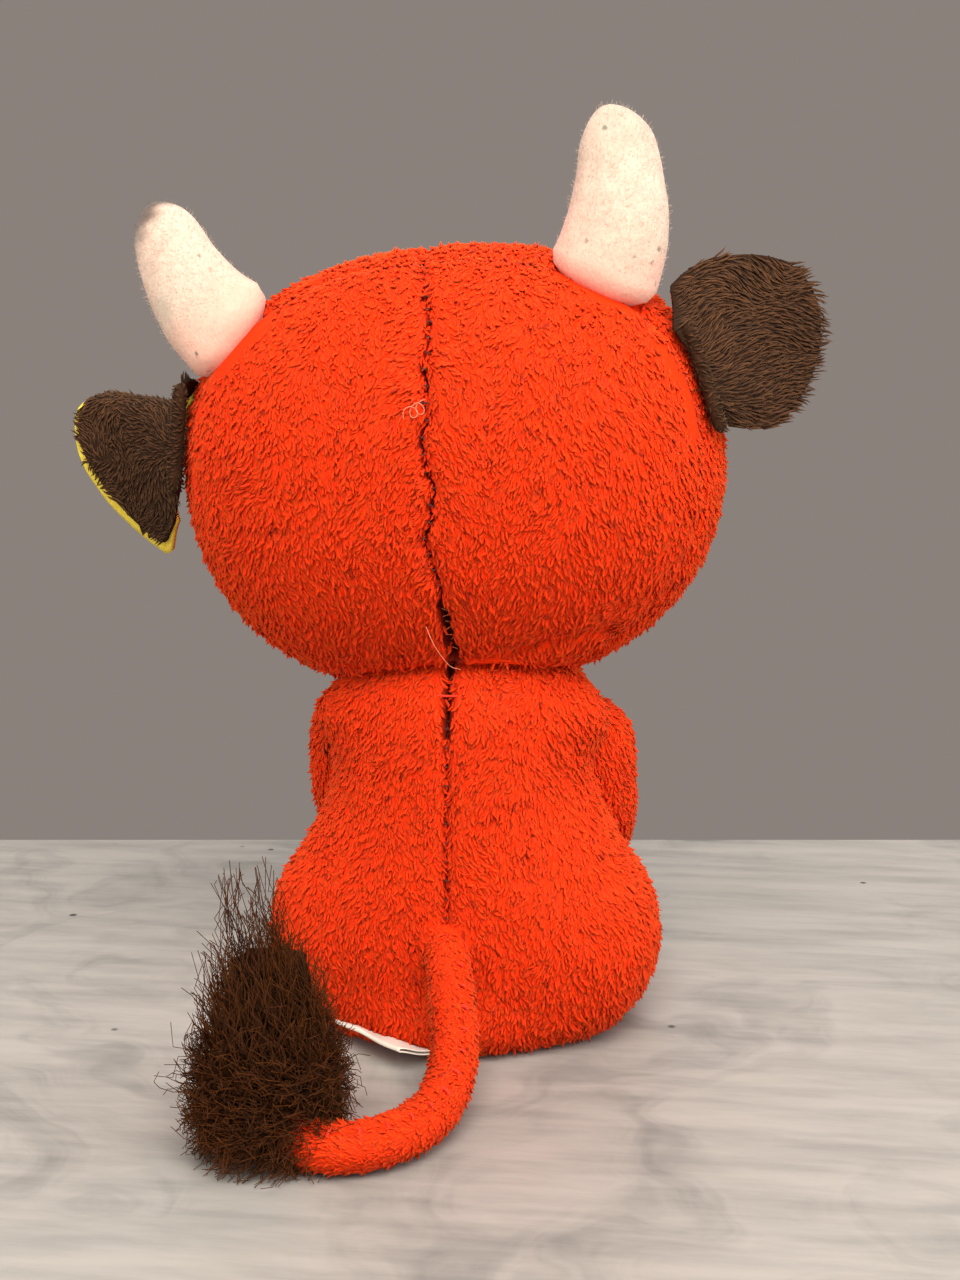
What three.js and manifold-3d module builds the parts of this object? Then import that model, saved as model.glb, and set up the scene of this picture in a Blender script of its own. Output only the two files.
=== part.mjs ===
// A small plush cow that sits on its seat, built from its sewn panels, stuffing and trim.
// Millimetres, +Z up. The cow faces -Y, its left side is +X, and the origin is the middle of the flat seat.
import * as THREE from "three";
import { mergeVertices } from "three/addons/utils/BufferGeometryUtils.js";
import Module from "manifold-3d";

const wasm = await Module();
wasm.setup();

// Fabric, thread and gaps
const plushThickness = 1.2;
const feltThickness = 1;
const threadRadius = 0.4;
const seamGap = 0.3;
const socketGap = 0.5;
const cutReach = 300;

// Torso: full haunches on a flattened seat, narrowing to the ball that the head sits on
const neckHeight = 47;
const neckRadius = 20;
const seatHalfWidth = 31.3;
const seatBack = 21.5;
const seatFront = 21;
const seatFlattening = 0.5;
const pelletHeight = 13;
const sideSeamForward = 4;
const torsoHeightShares = [0, 0.06, 0.16, 0.3, 0.45, 0.6, 0.78, 1];
const torsoRoundingShares = [0.62, 0.83, 0.95, 1, 1, 1, 1, 1];
const torsoSwellShares = [1, 1, 1, 1, 0.9, 0.52, 0.18, 0];
const seatSquareShare = 0.2;
const torsoDetail = { sides: 20, levels: 8, domeLevels: 4 };
const torsoInnerDetail = { sides: 14, levels: 6, domeLevels: 3 };

// Head: a wide rounded box, sewn on a little off centre and leaning over
const headHalfWidth = 41.5;
const headUpperHeight = 32.5;
const headLowerHeight = 35.7;
const headBack = 30;
const headFront = 32;
const headRise = 40;
const headForward = 2;
const headShift = 2.2;
const headSquareShare = 0.11;
const headLean = 6;
const crownSeamBack = 11;
const headDetail = [22, 12];
const headInnerDetail = [14, 8];
const muzzleDetail = [16, 8];
const muzzleInnerDetail = [10, 6];
const neckBallDetail = [20, 12];
const ballDetail = [14, 8];
const ballInnerDetail = [10, 6];

// Muzzle, nostrils, mouth and eyes
const muzzleHalfWidth = 22;
const muzzleHalfHeight = 14;
const muzzleHalfDepth = 16;
const muzzleForward = 24;
const muzzleDrop = 12;
const muzzleSeamMargin = 2;
const nostrilHalfWidth = 3;
const nostrilHalfHeight = 2;
const nostrilHalfDepth = 1.4;
const nostrilOut = 8;
const nostrilRise = 4;
const mouthHalfWidth = 9;
const mouthDrop = 4;
const mouthSag = 3;
const eyeRadius = 4.5;
const eyeHeight = 3;
const eyeOut = 18;
const eyeRise = 5;
const shankRadius = 1.3;
const shankLength = 7;
const washerRadius = 4;
const washerThickness = 1;

// Closing stitches at the bottom of the head's back seam
const closingTop = 17;
const closingBottom = 27;
const closingHalfWidth = 1.2;
const closingStitches = 4;

// Horns: stuffed felt, curled up and inward
const hornLength = 21;
const hornHalfWidth = 7.8;
const hornHalfThickness = 4.7;
const hornRootRadius = 8;
const hornRootHalfThickness = 4.8;
const hornLift = 0.3;
const hornCurlShare = 0.4;
const hornWidthShares = [1, 0.93, 0.83, 0.7, 0.52];
const hornThicknessShares = [1, 1, 0.95, 0.85, 0.75];
const hornTipShare = 0.78;
const horns = {
  left: { side: 1, crown: 52.5, lean: 49, forwardLean: 16 },
  right: { side: -1, crown: 46, lean: 28, forwardLean: 0 },
};

// Ears: plush outside, felt inside, each hinged on its seam
const earLength = 22.5;
const earHalfWidth = 13;
const earCup = 2.5;
const earRootRadius = 1.9;
const earBackThickness = 1.4;
const earWidthShares = [0.63, 1, 1, 1, 0.95];
const earTipShare = 0.35;
const earOutset = 0.3;
const earCreaseRise = 1;
const earCreaseRadius = 3.5;
const earCreaseFadeShare = 0.35;
const ears = {
  left: { side: 1, crown: 79, fold: 32, lift: -1, crease: 150, swing: [-50, 5] },
  right: { side: -1, crown: 77, fold: 34, lift: 28, crease: 0, swing: [-50, 15] },
};

// Forelegs: hang from the shoulders beside the belly, the right one sewn on a little lower
const forelegs = {
  left: { side: 1, shoulderDrop: 3.5 },
  right: { side: -1, shoulderDrop: 4 },
};
const shoulderSink = 2.3;
const shoulderForward = 6;
const shoulderRadius = 7.8;
const forelegLength = 26;
const forelegRadius = 7.5;
const forelegHoofLength = 8;
const forelegOutShare = 0.07;
const forelegRootShare = 0.06;
const forelegHangShare = 0.7;
const forelegInwardShare = 0.1;
const forelegForwardShare = 0.78;
const forelegDownShare = 0.78;
const forelegShares = [1, 1.02, 0.97, 0.92, 0.9];
const forelegSwing = [-5, 35];

// Hind legs: stubs that lie forward on the ground
const hipSpread = 17.5;
const hipSink = 3.5;
const hipRadius = 8.4;
const hindLegLength = 26;
const hindLegRadius = 8.3;
const hindHoofLength = 8;
const hindLegSplayShare = 0.12;
const hindLegShares = [1, 0.97, 0.95, 0.97, 1];
const hindLegLift = [0, 15];
const groundGap = 0.4;
const limbTipShare = 0.7;

// Tail: a rolled strip of plush that lies on the ground and hooks to the left, with a long pile tuft
const tailRootHeight = 18;
const tailRootSink = 2;
const tailRadius = 3.4;
const tailReach = 38;
const tailHook = 18;
const tailSideShares = [0, -0.122, -0.217, -0.167, 0.056, 0.456, 0.811, 1];
const tailReachShares = [0, 0.237, 0.474, 0.697, 0.908, 1.029, 0.961, 0.789];
const tailHeightShares = [1, 0.648, 0.296, 0.056, 0, 0, 0.042, 0.25];
const tailJointShare = 0.45;
const tailTipShare = 0.85;
const tailSwing = [-20, 20];
const tuftRadius = 11.5;
const tuftHeight = 35;
const tuftRadiusShares = [0.55, 0.86, 1, 0.97, 0.8, 0.5, 0.22];
const tuftHeightShares = [0, 0.08, 0.2, 0.33, 0.48, 0.65, 0.82];

// Label: a blank loop of ribbon caught in the seat seam, and the thread drawn round the neck
const labelWidth = 17;
const labelLength = 7.5;
const labelThickness = 0.5;
const labelTurn = 42;
const labelPlace = 76;
const neckThreadRadius = 0.25;
const neckThreadSink = 0.3;
const neckThreadRise = 7.5;

const red = "#e8381a";
const brown = "#50321a";
const yellow = "#ebd746";
const cream = "#f2dcc2";
const black = "#16130f";
const white = "#f1efe8";
const X = new THREE.Vector3(1, 0, 0);
const Y = new THREE.Vector3(0, 1, 0);
const Z = new THREE.Vector3(0, 0, 1);
const radians = THREE.MathUtils.degToRad;
const vector = (x, y, z) => new THREE.Vector3(x, y, z);
const sides = { left: 1, right: -1 };

// Solids: geometry goes in, joined or cut solids come out

function solid(geometry, matrix = new THREE.Matrix4()) {
  const bare = geometry.clone().applyMatrix4(matrix);
  bare.deleteAttribute("normal");
  bare.deleteAttribute("uv");
  const merged = mergeVertices(bare);
  return new wasm.Manifold(new wasm.Mesh({
    numProp: 3,
    vertProperties: merged.attributes.position.array,
    triVerts: new Uint32Array(merged.index.array),
  }));
}

function geometryOf(shape) {
  const { vertProperties, triVerts } = shape.getMesh();
  const geometry = new THREE.BufferGeometry();
  geometry.setAttribute("position", new THREE.BufferAttribute(vertProperties, 3));
  geometry.setIndex(new THREE.BufferAttribute(triVerts, 1));
  geometry.computeVertexNormals();
  return geometry;
}

const joined = (...shapes) => shapes.reduce((all, shape) => all.add(shape));
const cut = (shape, ...tools) => tools.reduce((rest, tool) => rest.subtract(tool), shape);

// A large block that fills one side of a plane: the side that the direction points to
function halfSpace(point, direction) {
  const block = new THREE.BoxGeometry(cutReach, cutReach, cutReach).translate(0, 0, cutReach / 2);
  const turn = new THREE.Quaternion().setFromUnitVectors(Z, direction.clone().normalize());
  return solid(block, new THREE.Matrix4().compose(point, turn, vector(1, 1, 1)));
}

const keepSide = (shape, point, direction) => shape.intersect(halfSpace(point, direction));

// Both halves of a shape that a seam parts, a seam gap between them
function parted(shape, point, direction) {
  const step = direction.clone().normalize().multiplyScalar(seamGap / 2);
  const back = step.clone().negate();
  return [keepSide(shape, point.clone().add(step), step), keepSide(shape, point.clone().add(back), back)];
}

// What a blocker fills while the moving piece turns about its own origin, as the moving piece sees it
function sweep(blocker, place, axis, [from, to], steps) {
  const angles = Array.from({ length: steps + 1 }, (_, i) => from + ((to - from) * i) / steps);
  return joined(...angles.map((angle) => {
    const turnBack = new THREE.Matrix4().makeRotationAxis(axis, radians(-angle));
    return solid(blocker, turnBack.multiply(place.clone().invert()));
  }));
}

function ball(radius, centre = vector(0, 0, 0), detail = ballDetail) {
  return solid(new THREE.SphereGeometry(radius, ...detail).translate(...centre.toArray()));
}

// A closed skin over rings of points, with a point that closes each end
function loft(rings, start, end) {
  const count = rings[0].length;
  const points = [start, ...rings.flat(), end];
  const last = points.length - 1;
  const at = (ring, i) => 1 + ring * count + (i % count);
  const faces = [];
  for (let i = 0; i < count; i++) {
    faces.push(0, at(0, i + 1), at(0, i));
    faces.push(last, at(rings.length - 1, i), at(rings.length - 1, i + 1));
    for (let r = 0; r + 1 < rings.length; r++) {
      faces.push(at(r, i), at(r, i + 1), at(r + 1, i + 1));
      faces.push(at(r, i), at(r + 1, i + 1), at(r + 1, i));
    }
  }
  const geometry = new THREE.BufferGeometry().setFromPoints(points);
  geometry.setIndex(faces);
  return geometry;
}

const angles = (count) => Array.from({ length: count }, (_, i) => (2 * Math.PI * i) / count);

function shareAt(shares, t) {
  const place = t * (shares.length - 1);
  const i = Math.min(Math.floor(place), shares.length - 2);
  return THREE.MathUtils.lerp(shares[i], shares[i + 1], place - i);
}

// Places along a limb: even steps up to its round tip, then closer ones round the tip
function ringPlaces(bodySteps, tipSteps, tipShare) {
  const body = Array.from({ length: bodySteps + 1 }, (_, i) => (tipShare * i) / bodySteps);
  const tip = Array.from({ length: tipSteps - 1 }, (_, i) => {
    return tipShare + (1 - tipShare) * Math.sin((Math.PI / 2) * ((i + 1) / tipSteps));
  });
  return [...body, ...tip];
}

function tipRounding(t, tipShare) {
  const beyond = Math.max((t - tipShare) / (1 - tipShare), 0);
  return Math.sqrt(1 - beyond ** 2);
}

// A swelling and tapering limb along a curve. inset makes the smaller form that lies inside its skin.
function limbForm(limb, inset) {
  const { curve, across, halfWidth, halfThickness, widthShares, thicknessShares, tipShare } = limb;
  const lengthShare = 1 - inset / curve.getLength();
  const around = inset > 0 ? 8 : 12;
  const rings = ringPlaces(3, 3, tipShare).map((t) => {
    const centre = curve.getPoint(t * lengthShare);
    const along = curve.getTangent(t * lengthShare);
    const thick = across.clone().addScaledVector(along, -across.dot(along)).normalize();
    const wide = vector(0, 0, 0).crossVectors(thick, along);
    const round = tipRounding(t, tipShare);
    const halfW = (halfWidth * shareAt(widthShares, t) - inset) * round;
    const halfT = (halfThickness * shareAt(thicknessShares, t) - inset) * round;
    return angles(around).map((angle) => centre.clone()
      .addScaledVector(wide, halfW * Math.cos(angle))
      .addScaledVector(thick, halfT * Math.sin(angle)));
  });
  return loft(rings, curve.getPoint(0), curve.getPoint(lengthShare));
}

// The power that rounds the head's box form: 2 would be a ball, more is squarer
const headPower = 2 / (1 - headSquareShare);

// A rounded box form round a centre, with its own reach up, down, back and forward
function roundedForm({ centre, halfWidth, back, front, up, down }, inset, detail) {
  const geometry = new THREE.SphereGeometry(1, ...detail).rotateX(Math.PI / 2);
  const place = geometry.attributes.position;
  for (let i = 0; i < place.count; i++) {
    const [x, y, z] = [place.getX(i), place.getY(i), place.getZ(i)];
    const size = Math.abs(x) ** headPower + Math.abs(y) ** headPower + Math.abs(z) ** headPower;
    const unit = size ** (-1 / headPower);
    place.setXYZ(
      i,
      centre.x + x * unit * (halfWidth - inset),
      centre.y + y * unit * ((y > 0 ? back : front) - inset),
      centre.z + z * unit * ((z > 0 ? up : down) - inset),
    );
  }
  return geometry;
}

// Torso form

const torsoProfile = new THREE.CatmullRomCurve3(torsoHeightShares.map((share, i) => {
  return vector(share, torsoRoundingShares[i], torsoSwellShares[i]);
}));

function torsoLevel(t, inset) {
  const { x: height, y: rounding, z: swell } = torsoProfile.getPoint(t);
  const reach = (full) => (neckRadius + (full - neckRadius) * swell) * rounding - inset;
  return {
    z: (neckHeight + seatFlattening) * height - seatFlattening,
    halfWidth: reach(seatHalfWidth),
    back: reach(seatBack),
    front: reach(seatFront),
    roundness: 1 - seatSquareShare * swell,
  };
}

// The level nearest to a height, found by halving
function torsoAtHeight(z) {
  let [low, high] = [0, 1];
  for (let i = 0; i < 30; i++) {
    const middle = (low + high) / 2;
    if (torsoLevel(middle, 0).z < z) low = middle;
    else high = middle;
  }
  return torsoLevel(low, 0);
}

function sectionPoint({ z, halfWidth, back, front, roundness }, angle) {
  const x = halfWidth * Math.sign(Math.cos(angle)) * Math.abs(Math.cos(angle)) ** roundness;
  const depth = Math.sin(angle) > 0 ? back : front;
  const y = depth * Math.sign(Math.sin(angle)) * Math.abs(Math.sin(angle)) ** roundness;
  return vector(x, y, z);
}

function torsoForm(inset) {
  const { sides: around, levels, domeLevels } = inset > 0 ? torsoInnerDetail : torsoDetail;
  const rings = [];
  for (let i = 0; i <= levels; i++) {
    const level = torsoLevel(i / levels, inset);
    rings.push(angles(around).map((angle) => sectionPoint(level, angle)));
  }
  for (let i = 1; i < domeLevels; i++) {
    const rise = (Math.PI / 2) * (i / domeLevels);
    const radius = (neckRadius - inset) * Math.cos(rise);
    const z = neckHeight + (neckRadius - inset) * Math.sin(rise);
    rings.push(angles(around).map((angle) => vector(radius * Math.cos(angle), radius * Math.sin(angle), z)));
  }
  return loft(rings, vector(0, 0, -seatFlattening), vector(0, 0, neckHeight + neckRadius - inset));
}

// Head form, in a frame whose origin is the middle of the neck ball

const neckPivot = vector(0, 0, neckHeight);
const headPlace = new THREE.Matrix4().makeRotationY(radians(headLean)).setPosition(neckPivot);
const headShape = {
  centre: vector(-headShift, -headForward, headRise),
  halfWidth: headHalfWidth,
  back: headBack,
  front: headFront,
  up: headUpperHeight,
  down: headLowerHeight,
};
const muzzleShape = {
  centre: headShape.centre.clone().add(vector(0, -muzzleForward, -muzzleDrop)),
  halfWidth: muzzleHalfWidth,
  back: muzzleHalfDepth,
  front: muzzleHalfDepth,
  up: muzzleHalfHeight,
  down: muzzleHalfHeight,
};
const headForm = (inset) => roundedForm(headShape, inset, inset > 0 ? headInnerDetail : headDetail);
const muzzleForm = (inset) => roundedForm(muzzleShape, inset, inset > 0 ? muzzleInnerDetail : muzzleDetail);

// A place on a rounded form at x and z from its centre, on its front or its back, with its outward normal
function onForm({ centre, halfWidth, back, front, up, down }, x, z, isBack) {
  const height = z > 0 ? up : down;
  const depth = isBack ? back : front;
  const filled = Math.abs(x / halfWidth) ** headPower + Math.abs(z / height) ** headPower;
  const y = (isBack ? 1 : -1) * depth * (1 - filled) ** (1 / headPower);
  const slope = (value, reach) => Math.sign(value) * Math.abs(value / reach) ** (headPower - 1) / reach;
  return {
    point: centre.clone().add(vector(x, y, z)),
    normal: vector(slope(x, halfWidth), slope(y, depth), slope(z, height)).normalize(),
  };
}

// A place on the crown seam, at an angle down from the top of the head
function onCrownSeam(side, crownAngle) {
  const [out, rise] = [Math.sin(radians(crownAngle)), Math.cos(radians(crownAngle))];
  const height = rise > 0 ? headUpperHeight : headLowerHeight;
  const left = 1 - Math.abs(crownSeamBack / headBack) ** headPower;
  const size = Math.abs(out / headHalfWidth) ** headPower + Math.abs(rise / height) ** headPower;
  const radius = (left / size) ** (1 / headPower);
  return headShape.centre.clone().add(vector(side * out * radius, crownSeamBack, rise * radius));
}

// Materials and the scene graph

const material = (color, roughness) => new THREE.MeshStandardMaterial({ color, roughness, metalness: 0 });
const plushRed = () => material(red, 0.95);
const plushBrown = () => material(brown, 0.95);
const feltYellow = () => material(yellow, 0.9);
const feltCream = () => material(cream, 0.9);
const fibre = () => material(white, 0.95);
const gloss = () => material(black, 0.15);

function piece(group, name, shape, look) {
  const mesh = new THREE.Mesh(shape instanceof THREE.BufferGeometry ? shape : geometryOf(shape), look);
  mesh.name = name;
  group.add(mesh);
}

function groupAt(parent, matrix) {
  const group = new THREE.Group();
  group.applyMatrix4(matrix);
  parent.add(group);
  return group;
}

const cow = new THREE.Group();
const headGroup = groupAt(cow, headPlace);

// Places of what turns on the head: each frame's origin is on its own hinge

function hornPlace({ side, crown, lean, forwardLean }) {
  const seat = onCrownSeam(side, crown);
  const outward = seat.clone().sub(headShape.centre).setY(0).normalize();
  return new THREE.Matrix4().makeRotationY(radians(side * lean))
    .multiply(new THREE.Matrix4().makeRotationX(radians(forwardLean)))
    .setPosition(seat.addScaledVector(outward, hornLift));
}

function earPlace({ side, crown, fold }) {
  const seat = onCrownSeam(side, crown);
  const outward = seat.clone().sub(headShape.centre).setY(0).normalize();
  return new THREE.Matrix4().makeRotationY(radians(side * (crown - 90)))
    .multiply(new THREE.Matrix4().makeRotationZ(radians(-side * fold)))
    .setPosition(seat.addScaledVector(outward, earOutset));
}

// Horn: its root is a round disc whose axis is the bending axis, so it turns in its socket

const hornShape = ({ side }) => ({
  curve: new THREE.QuadraticBezierCurve3(
    vector(0, 0, 0),
    vector(0, 0, hornLength / 2),
    vector(-side * hornLength * hornCurlShare, 0, hornLength),
  ),
  across: Y,
  halfWidth: hornHalfWidth,
  halfThickness: hornHalfThickness,
  widthShares: hornWidthShares,
  thicknessShares: hornThicknessShares,
  tipShare: hornTipShare,
});

function hornRoot(inset) {
  const flatness = (hornRootHalfThickness - inset) / (hornRootRadius - inset);
  return new THREE.SphereGeometry(hornRootRadius - inset, 12, 6).scale(1, flatness, 1);
}

function addHorn(name, horn) {
  const group = groupAt(headGroup, hornPlace(horn));
  group.name = `${name}_horn_hinge`;
  const whole = (inset) => joined(solid(limbForm(hornShape(horn), inset)), solid(hornRoot(inset)));
  const mouth = vector(0, 0, -hornRootRadius / 2);
  const cover = keepSide(cut(whole(0), whole(feltThickness)), mouth, Z);
  piece(group, `horn_cover_${name}`, cover, feltCream());
  const stuffing = keepSide(whole(feltThickness + seamGap), mouth, Z);
  piece(group, `horn_stuffing_${name}`, stuffing, fibre());
}

// Ear: a cupped paddle in two layers on a rolled root

function earRoot(inset) {
  const length = 2 * earHalfWidth * earWidthShares[0] - 2 * earRootRadius;
  return new THREE.CapsuleGeometry(earRootRadius - inset, length, 2, 8).rotateX(Math.PI / 2);
}

// Where a strip across the ear lies: flat below its crease, then round an arc and on, bent forward
function creased(out, bend) {
  const beyond = Math.max(out - earCreaseRise, 0);
  const turn = Math.min(beyond / earCreaseRadius, bend);
  const straight = beyond - turn * earCreaseRadius;
  return {
    turn,
    rise: Math.min(out, earCreaseRise) + earCreaseRadius * Math.sin(turn) + straight * Math.cos(turn),
    forward: earCreaseRadius * (1 - Math.cos(turn)) + straight * Math.sin(turn),
  };
}

function earLayer({ side, lift, crease }, near, far) {
  const direction = (angle) => vector(side * Math.cos(radians(angle)), 0, Math.sin(radians(angle)));
  const middle = (near + far) / 2;
  const half = Math.abs(far - near) / 2;
  const curve = new THREE.QuadraticBezierCurve3(
    vector(0, 0, 0),
    direction(lift / 2).multiplyScalar(earLength / 2),
    direction(lift).multiplyScalar(earLength),
  );
  const rings = ringPlaces(3, 4, earTipShare).map((t) => {
    const centre = curve.getPoint(t);
    const wide = vector(0, 0, 0).crossVectors(curve.getTangent(t), Y).multiplyScalar(side);
    const halfWidth = earHalfWidth * shareAt(earWidthShares, t) * tipRounding(t, earTipShare);
    const bend = radians(crease) * Math.min(t / earCreaseFadeShare, 1);
    return angles(16).map((angle) => {
      const out = halfWidth * Math.cos(angle);
      const depth = middle - side * half * Math.sin(angle);
      const { turn, rise, forward } = creased(out, bend);
      const cupped = earCup * (Math.min(out, bend > 0 ? 0 : out) / earHalfWidth) ** 2;
      return centre.clone()
        .addScaledVector(wide, rise + depth * Math.sin(turn))
        .addScaledVector(Y, depth * Math.cos(turn) - forward - cupped);
    });
  });
  const tip = curve.getPoint(1).add(vector(0, middle, 0));
  return loft(rings, vector(0, middle, 0), tip);
}

function addEar(name, ear) {
  const place = earPlace(ear);
  const group = groupAt(headGroup, place);
  group.name = `${name}_ear_hinge`;
  const headInTheWay = sweep(headForm(-seamGap), place, Z, ear.swing.map((angle) => -ear.side * angle), 5);
  const backLayer = (grow) => solid(earLayer(ear, seamGap / 2 - grow, seamGap / 2 + earBackThickness));
  const back = joined(cut(backLayer(0), headInTheWay), solid(earRoot(0)));
  piece(group, `ear_back_${name}`, back, plushBrown());
  const layer = solid(earLayer(ear, -seamGap / 2 - feltThickness, -seamGap / 2));
  const lining = cut(layer, headInTheWay, solid(earRoot(-seamGap)), backLayer(seamGap / 2));
  piece(group, `ear_lining_${name}`, lining, feltYellow());
}

// Eyes, each a domed button on a shank with a washer behind the fabric

function eyePlace(side) {
  const { point, normal } = onForm(headShape, side * eyeOut, eyeRise, false);
  const turn = new THREE.Quaternion().setFromUnitVectors(Z, normal);
  return new THREE.Matrix4().compose(point, turn, vector(1, 1, 1));
}

function eyeForm(grow) {
  const profile = [new THREE.Vector2(0, -shankLength - grow)];
  profile.push(new THREE.Vector2(shankRadius + grow, -shankLength - grow));
  profile.push(new THREE.Vector2(shankRadius + grow, -grow));
  for (let i = 0; i <= 3; i++) {
    const rise = (Math.PI / 2) * (i / 4);
    const height = (eyeHeight + 2 * grow) * Math.sin(rise) - grow;
    profile.push(new THREE.Vector2((eyeRadius + grow) * Math.cos(rise), height));
  }
  profile.push(new THREE.Vector2(0, eyeHeight + grow));
  return new THREE.LatheGeometry(profile, 12).rotateX(Math.PI / 2);
}

function washerForm(grow) {
  const top = -plushThickness - 2 * seamGap + grow;
  const bottom = top - washerThickness - 2 * grow;
  const bore = Math.max(shankRadius + seamGap - grow, 0);
  const profile = [[bore, bottom], [washerRadius + grow, bottom], [washerRadius + grow, top], [bore, top]];
  const outline = [...profile, profile[0]].map(([radius, height]) => new THREE.Vector2(radius, height));
  return new THREE.LatheGeometry(outline, 12).rotateX(Math.PI / 2);
}

function addEye(name, side) {
  const group = groupAt(headGroup, eyePlace(side));
  piece(group, `eye_${name}`, eyeForm(0), gloss());
  piece(group, `eye_washer_${name}`, washerForm(0), material(white, 0.5));
}

// Head panels and stuffing

function addHead() {
  const centre = headShape.centre;
  const sockets = [
    ball(neckRadius + socketGap, vector(0, 0, 0), neckBallDetail),
    ...Object.values(horns).map((horn) => solid(hornRoot(-socketGap), hornPlace(horn))),
    ...Object.values(ears).map((ear) => solid(earRoot(-socketGap), earPlace(ear))),
    ...Object.values(sides).map((side) => solid(eyeForm(seamGap), eyePlace(side))),
  ];
  const washers = Object.values(sides).map((side) => solid(washerForm(seamGap), eyePlace(side)));
  const whole = (inset) => joined(solid(headForm(inset)), solid(muzzleForm(inset)));
  const shell = cut(whole(0), whole(plushThickness), ...sockets, ...washers);
  const crown = centre.clone().add(vector(0, crownSeamBack, 0));
  const [backHalf, faceHalf] = parted(shell, crown, Y);
  const [backLeft, backRight] = parted(backHalf, centre, X);
  const muzzle = faceHalf.intersect(solid(muzzleForm(-muzzleSeamMargin)));
  const face = cut(faceHalf, solid(muzzleForm(-muzzleSeamMargin - seamGap)));
  const [faceLeft, faceRight] = parted(face, centre, X);
  piece(headGroup, "head_back_panel_left", backLeft, plushRed());
  piece(headGroup, "head_back_panel_right", backRight, plushRed());
  piece(headGroup, "face_panel_left", faceLeft, plushRed());
  piece(headGroup, "face_panel_right", faceRight, plushRed());
  piece(headGroup, "muzzle_panel", muzzle, material(cream, 0.95));
  piece(headGroup, "head_stuffing", cut(whole(plushThickness + seamGap), ...sockets, ...washers), fibre());
}

// Embroidery lies on the muzzle, and its back follows the muzzle's surface

function addNostril(name, side) {
  const { point } = onForm(muzzleShape, side * nostrilOut, nostrilRise, false);
  const dot = new THREE.SphereGeometry(1, 12, 8).scale(nostrilHalfWidth, nostrilHalfDepth, nostrilHalfHeight);
  const shape = cut(solid(dot.translate(...point.toArray())), solid(muzzleForm(-seamGap)));
  piece(headGroup, `nostril_${name}`, shape, material(brown, 0.8));
}

function threadAlong(points, radius, steps) {
  const outline = angles(6).map((a) => new THREE.Vector2(radius * Math.cos(a), radius * Math.sin(a)));
  const section = new THREE.Shape(outline);
  const extrudePath = new THREE.CatmullRomCurve3(points);
  return new THREE.ExtrudeGeometry(section, { steps, extrudePath });
}

function addMouth() {
  const points = Array.from({ length: 9 }, (_, i) => {
    const share = (i - 4) / 4;
    const z = -mouthDrop - mouthSag * (1 - share ** 2);
    const { point, normal } = onForm(muzzleShape, share * mouthHalfWidth, z, false);
    return point.addScaledVector(normal, seamGap + threadRadius);
  });
  const line = solid(threadAlong(points, 2 * threadRadius, 12));
  piece(headGroup, "mouth_embroidery", cut(line, solid(muzzleForm(-seamGap))), material(brown, 0.8));
}

function addClosingThread() {
  const points = Array.from({ length: 2 * closingStitches + 1 }, (_, i) => {
    const share = i / (2 * closingStitches);
    const z = -THREE.MathUtils.lerp(closingTop, closingBottom, share);
    const { point, normal } = onForm(headShape, (i % 2 ? 1 : -1) * closingHalfWidth, z, true);
    return point.addScaledVector(normal, seamGap + threadRadius);
  });
  const strand = solid(threadAlong(points, threadRadius, 16));
  piece(headGroup, "head_closing_thread", cut(strand, solid(headForm(-seamGap))), material(brown, 0.8));
}

// Legs: each turns on a ball at its root, its cover ends in a hoof, and stuffing fills it

const forelegShape = (side) => {
  const direction = vector(-side * forelegInwardShare, -forelegForwardShare, -forelegDownShare);
  const end = direction.multiplyScalar(forelegLength);
  return {
    curve: new THREE.QuadraticBezierCurve3(
      vector(0, 0, 0),
      vector(side * forelegOutShare, -forelegRootShare, -forelegHangShare).multiplyScalar(forelegLength),
      end,
    ),
    across: X,
    halfWidth: forelegRadius,
    halfThickness: forelegRadius,
    widthShares: forelegShares,
    thicknessShares: forelegShares,
    tipShare: limbTipShare,
  };
};

const hindLegEnd = (side) => vector(side * hindLegLength * hindLegSplayShare, -hindLegLength, 0);

const hindLegShape = (side) => ({
  curve: new THREE.LineCurve3(vector(0, 0, 0), hindLegEnd(side)),
  across: X,
  halfWidth: hindLegRadius,
  halfThickness: hindLegRadius,
  widthShares: hindLegShares,
  thicknessShares: hindLegShares,
  tipShare: limbTipShare,
});

function shoulderPlace({ side, shoulderDrop }) {
  const height = neckHeight - shoulderDrop;
  const { halfWidth } = torsoAtHeight(height);
  return new THREE.Matrix4().setPosition(side * (halfWidth - shoulderSink), -shoulderForward, height);
}

function hipPlace(side) {
  const height = hipRadius + groundGap;
  const { front } = torsoAtHeight(height);
  return new THREE.Matrix4().setPosition(side * hipSpread, hipSink - front, height);
}

function addLeg(name, kind, place, shape, rootRadius, hoofLength, inTheWay, mouthDirection) {
  const group = groupAt(cow, place);
  group.name = `${name}_${kind}_hinge`;
  const whole = (inset) => {
    const root = ball(rootRadius - inset, vector(0, 0, 0), inset > 0 ? ballInnerDetail : ballDetail);
    return joined(cut(solid(limbForm(shape, inset)), inTheWay(inset)), root);
  };
  const mouth = mouthDirection.clone().multiplyScalar(-rootRadius / 2);
  const skin = keepSide(cut(whole(0), whole(plushThickness)), mouth, mouthDirection);
  const hoofPlace = 1 - hoofLength / shape.curve.getLength();
  const [hoof, cover] = parted(skin, shape.curve.getPoint(hoofPlace), shape.curve.getTangent(hoofPlace));
  piece(group, `${kind}_cover_${name}`, cover, plushRed());
  piece(group, `${kind}_hoof_${name}`, hoof, plushBrown());
  const stuffing = keepSide(whole(plushThickness + seamGap), mouth, mouthDirection);
  piece(group, `${kind}_stuffing_${name}`, stuffing, fibre());
}

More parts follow.
